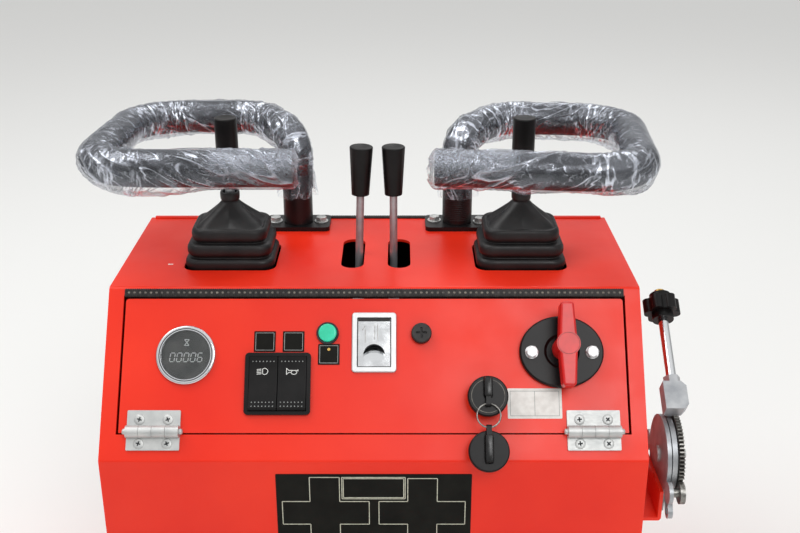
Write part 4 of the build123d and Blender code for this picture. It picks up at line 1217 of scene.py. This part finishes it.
def make_rocker_marks():
    """White symbols on the two rockers, and rows of raised grey dots whose grey is a painted highlight
    of the rockers' dimples.
    """
    rows = [("lights_rocker", -110.2, lamp_symbol()), ("horn_rocker", -81.4, horn_symbol())]
    dot = loft([at_height(circle(0.75 * mm, 10), 0), at_height(circle(0.4 * mm, 10), 0.6 * mm)])
    for name, x, symbol in rows:
        place = on_panel(x, 76.2)
        symbol = shifted(strokes(symbol, 0.65 * mm, 0, 0.3 * mm), y=12 * mm)
        add_piece(name + "_symbol", laid_on(name, symbol, place), "lid", "white_print")
        # The dots' grey is a painted highlight standing for the light on the rockers' dimples
        dots = [
            shifted(dot, x=(k - 3) * 3.5 * mm, y=s * mm)
            for s in (22, -19, -23) for k in range(7)
        ]
        add_piece(name + "_dimple_highlights", laid_on(name, joined(dots), place), "lid", "grey_print_and_highlight")


def make_key_grips():
    """The broad, round-edged part of each key's grip."""
    # Name, body, place of the cap's middle up the panel, and the grip's ends from there
    grips = [
        ("ignition_key_grip", "lid", ignition_spot[1], -2.1, 18.6),
        ("spare_key_grip", "spare_keys", 8.5, -12, 16.6),
    ]
    rows = [(9.4, 0), (9, 1.6), (8, 5.4), (7.2, 6.4), (5.6, 6.8)]
    corner, cap_top = 1.8 * mm, 19
    for name, body, s, low, high in grips:
        rings = []
        for width, height in rows:
            length = high - low - rows[0][0] + width
            rings.append(at_height(box_outline(width * mm, length * mm, corner, 48), height * mm))
        place = on_panel(ignition_spot[0], s + (low + high) / 2, cap_top)
        add_piece(name, loft(rings), body, "key_plastic", place)


def make_key_marks():
    """Fine rings on the meter's bezel, the key cap and the isolator's handle: the dark ring on the bezel
    is painted shade, and the pale ring on the key's cap is a painted highlight.
    """
    rings = [
        ("meter_bezel_shade_line", "hour_meter_case", on_panel(*meter_spot), 26.0, 26.9, "valve_iron"),
        ("ignition_key_rim_highlight", "ignition_key", on_panel(*ignition_spot), 16.0, 16.6, "highlight_rubber"),
        ("isolator_hub_line", "isolator_key", on_panel(189.5, 110.5), 10.3, 10.8, "dark_red_line"),
    ]
    for name, node, place, inner, outer, finish in rings:
        shape = border(circle(outer * mm), circle(inner * mm), 0, 0.4 * mm)
        add_piece(name, laid_on(node, shape, place), "lid", finish)


def make_latch_marks():
    """Painted shade round the latch's paddle: a black line along its border and a black strip at its top
    stand for the shadow in its recess. Also the fine moulded lines on it.
    """
    place = on_panel(0, 118)
    # Black line and strip: painted shadow of the recess's rim on the paddle
    rim = frame_line(33.8 * mm, 49.8 * mm, 0.8 * mm, 0, 0.25 * mm)
    slot = shifted(slab(corners_outline(32 * mm, 2.8 * mm, 0.3 * mm), 0, 0.25 * mm), y=23 * mm)
    gap = laid_on("latch_paddle", joined([rim, slot]), place)
    add_piece("latch_painted_shade", gap, "lid", "black_paint")
    lines = [
        ((-9, 0), (-9, 14)), ((-9, 17), (-12, 12.5)), ((0.5, 3), (0.5, 18)), ((3.5, 3), (3.5, 18)),
    ]
    drawn = laid_on("latch_paddle", strokes(lines, 0.6 * mm, 0, 0.3 * mm), place)
    add_piece("latch_lines", drawn, "lid", "wire_steel")


# The framed plate on the front face: outlines of its fields, from its middle and its top edge down
decal_top = 304.6
decal_half_width = 97
decal_height = 130
decal_fields = [
    [
        (-63.6, 3.7), (-34, 3.7), (-34, 31.9), (-4.7, 31.9), (-4.7, 58.9), (-34, 58.9),
        (-34, 86), (-63.6, 86), (-63.6, 58.9), (-91.3, 58.9), (-91.3, 31.9), (-63.6, 31.9),
    ],
    [
        (33.7, 5), (63, 5), (63, 31.9), (91, 31.9), (91, 58.9), (63, 58.9),
        (63, 86), (33.7, 86), (33.7, 58.9), (5, 58.9), (5, 31.9), (33.7, 31.9),
    ],
    [(-31.6, 3.7), (31.1, 3.7), (31.1, 28.7), (-31.6, 28.7)],
    [(-30.2, 5.1), (29.7, 5.1), (29.7, 27.3), (-30.2, 27.3)],
]


def make_decal():
    """A blank black plate with the frame lines of its fields."""
    thick = 0.4 * mm
    middle = face @ Matrix.Translation((0, (decal_top - decal_height / 2) * mm, 0))
    plate = slab(corners_outline(2 * decal_half_width * mm, decal_height * mm, 1 * mm), 0, thick)
    add_piece("front_plate", plate, "cowl", "black_label", middle)
    top = face @ Matrix.Translation((0, decal_top * mm, 0))
    fields = [[(x, -down) for x, down in corners] for corners in decal_fields]
    drawn = strokes([field + field[:1] for field in fields], 0.8 * mm, thick, thick + ink)
    add_piece("front_plate_lines", drawn, "cowl", "pale_print", top)


def make_brake_sleeve():
    """The bright sleeve on the brake lever's rod."""
    lean = radians(36)
    along = Vector((0, cos(lean), sin(lean)))
    aside = Vector((0, -sin(lean), cos(lean)))
    pivot = Vector((300.5, -114, 302)) * mm
    rod_start, rod_offset = 36.44 * mm, 50.16 * mm
    foot = pivot + along * rod_start + aside * rod_offset
    turned = along.to_track_quat("Z", "X").to_matrix().to_4x4()
    place = Matrix.Translation(foot) @ turned
    profile = [(4.9, 17), (5.15, 17.4), (5.15, 90.6), (4.9, 91)]
    sleeve = lathe([(radius * mm, height * mm) for radius, height in profile])
    add_piece("brake_rod_sleeve", sleeve, "brake_handle", "bezel_chrome", place)


def make_post_ribs():
    """Fine ribs round the right post's sleeve."""
    profile = []
    for k in range(14):
        low = 10 + 2.3 * k
        profile += [(16.9, low), (17.15, low + 0.5), (17.15, low + 1.2), (16.9, low + 1.7)]
    ribs = lathe([(radius * mm, height * mm) for radius, height in profile])
    place = Matrix.Translation((post_x, post_y, deck_z))
    add_piece("right_post_ribs", ribs, "cowl", "black_paint", place, 20)


def make_chip():
    """A small paint chip on the deck."""
    outline = polar(lambda turn: (2.1 + 0.9 * cos(2 * turn) + 0.4 * sin(3 * turn + 1)) * mm, 20)
    place = Matrix.Translation((-219.7 * mm, 9.1 * mm, deck_z))
    add_piece("deck_chip", slab(outline, -0.1 * mm, 0.06 * mm), "cowl", "bare_chip", place, 60)


def make_lamp_ring():
    """The dark ring round the foot of the pilot lamp."""
    band = [(11.2, 0), (11.2, 3.2), (10.6, 3.8), (9.75, 3.8), (9.35, 3.4), (9.35, 0)]
    ring = hoop([at_height(circle(radius * mm), height * mm) for radius, height in band])
    add_piece("pilot_lamp_ring", ring, "lid", "valve_iron", on_panel(-46.8, 127.2))


def make_labels():
    """Blank legend plates and the framed white label."""
    plates = [
        ("lights_legend", -109.9, 119), ("horn_legend", -81, 119), ("charge_legend", *charge_spot),
    ]
    width, height, line = 21.6 * mm, 21 * mm, 0.5 * mm
    thick, margin = 0.6 * mm, 3 * mm
    for name, x, s in plates:
        plate = slab(corners_outline(width, height, thick), 0, thick)
        add_piece(name, plate, "lid", "black_label", on_panel(x, s))
        frame_lines = frame_line(width - margin, height - margin, line, thick, thick + ink)
        add_piece(name + "_line", frame_lines, "lid", "grey_print_and_highlight", on_panel(x, s))
    dot = shifted(lathe([(1.5 * mm, 0), (1.5 * mm, 0.3 * mm)], 24), y=5 * mm)
    add_piece("charge_legend_dot", dot, "lid", "brass", on_panel(*charge_spot, 0.6))

    width, height = 54 * mm, 30 * mm
    label = slab(corners_outline(width, height, 1 * mm), 0, thick / 2)
    add_piece("isolator_label", label, "lid", "white_label", on_panel(*white_label_spot))
    low, high = thick / 2, thick / 2 + ink
    divider = stroke((0, -height / 2 + margin), (0, height / 2 - margin), line, low, high)
    lines = joined([frame_line(width - 5 * mm, height - 5 * mm, line, low, high), divider])
    add_piece("isolator_label_lines", lines, "lid", "grey_print_and_highlight", on_panel(*white_label_spot))


dress_nodes()
make_boots()
make_loops()
make_edging()
make_fasteners()
make_rear_screws()
make_labels()
make_lamp_ring()
make_meter_marks()
make_rocker_marks()
make_key_grips()
make_key_marks()
make_latch_marks()
make_decal()
make_brake_sleeve()
make_post_ribs()
make_chip()
make_camera()
make_studio()
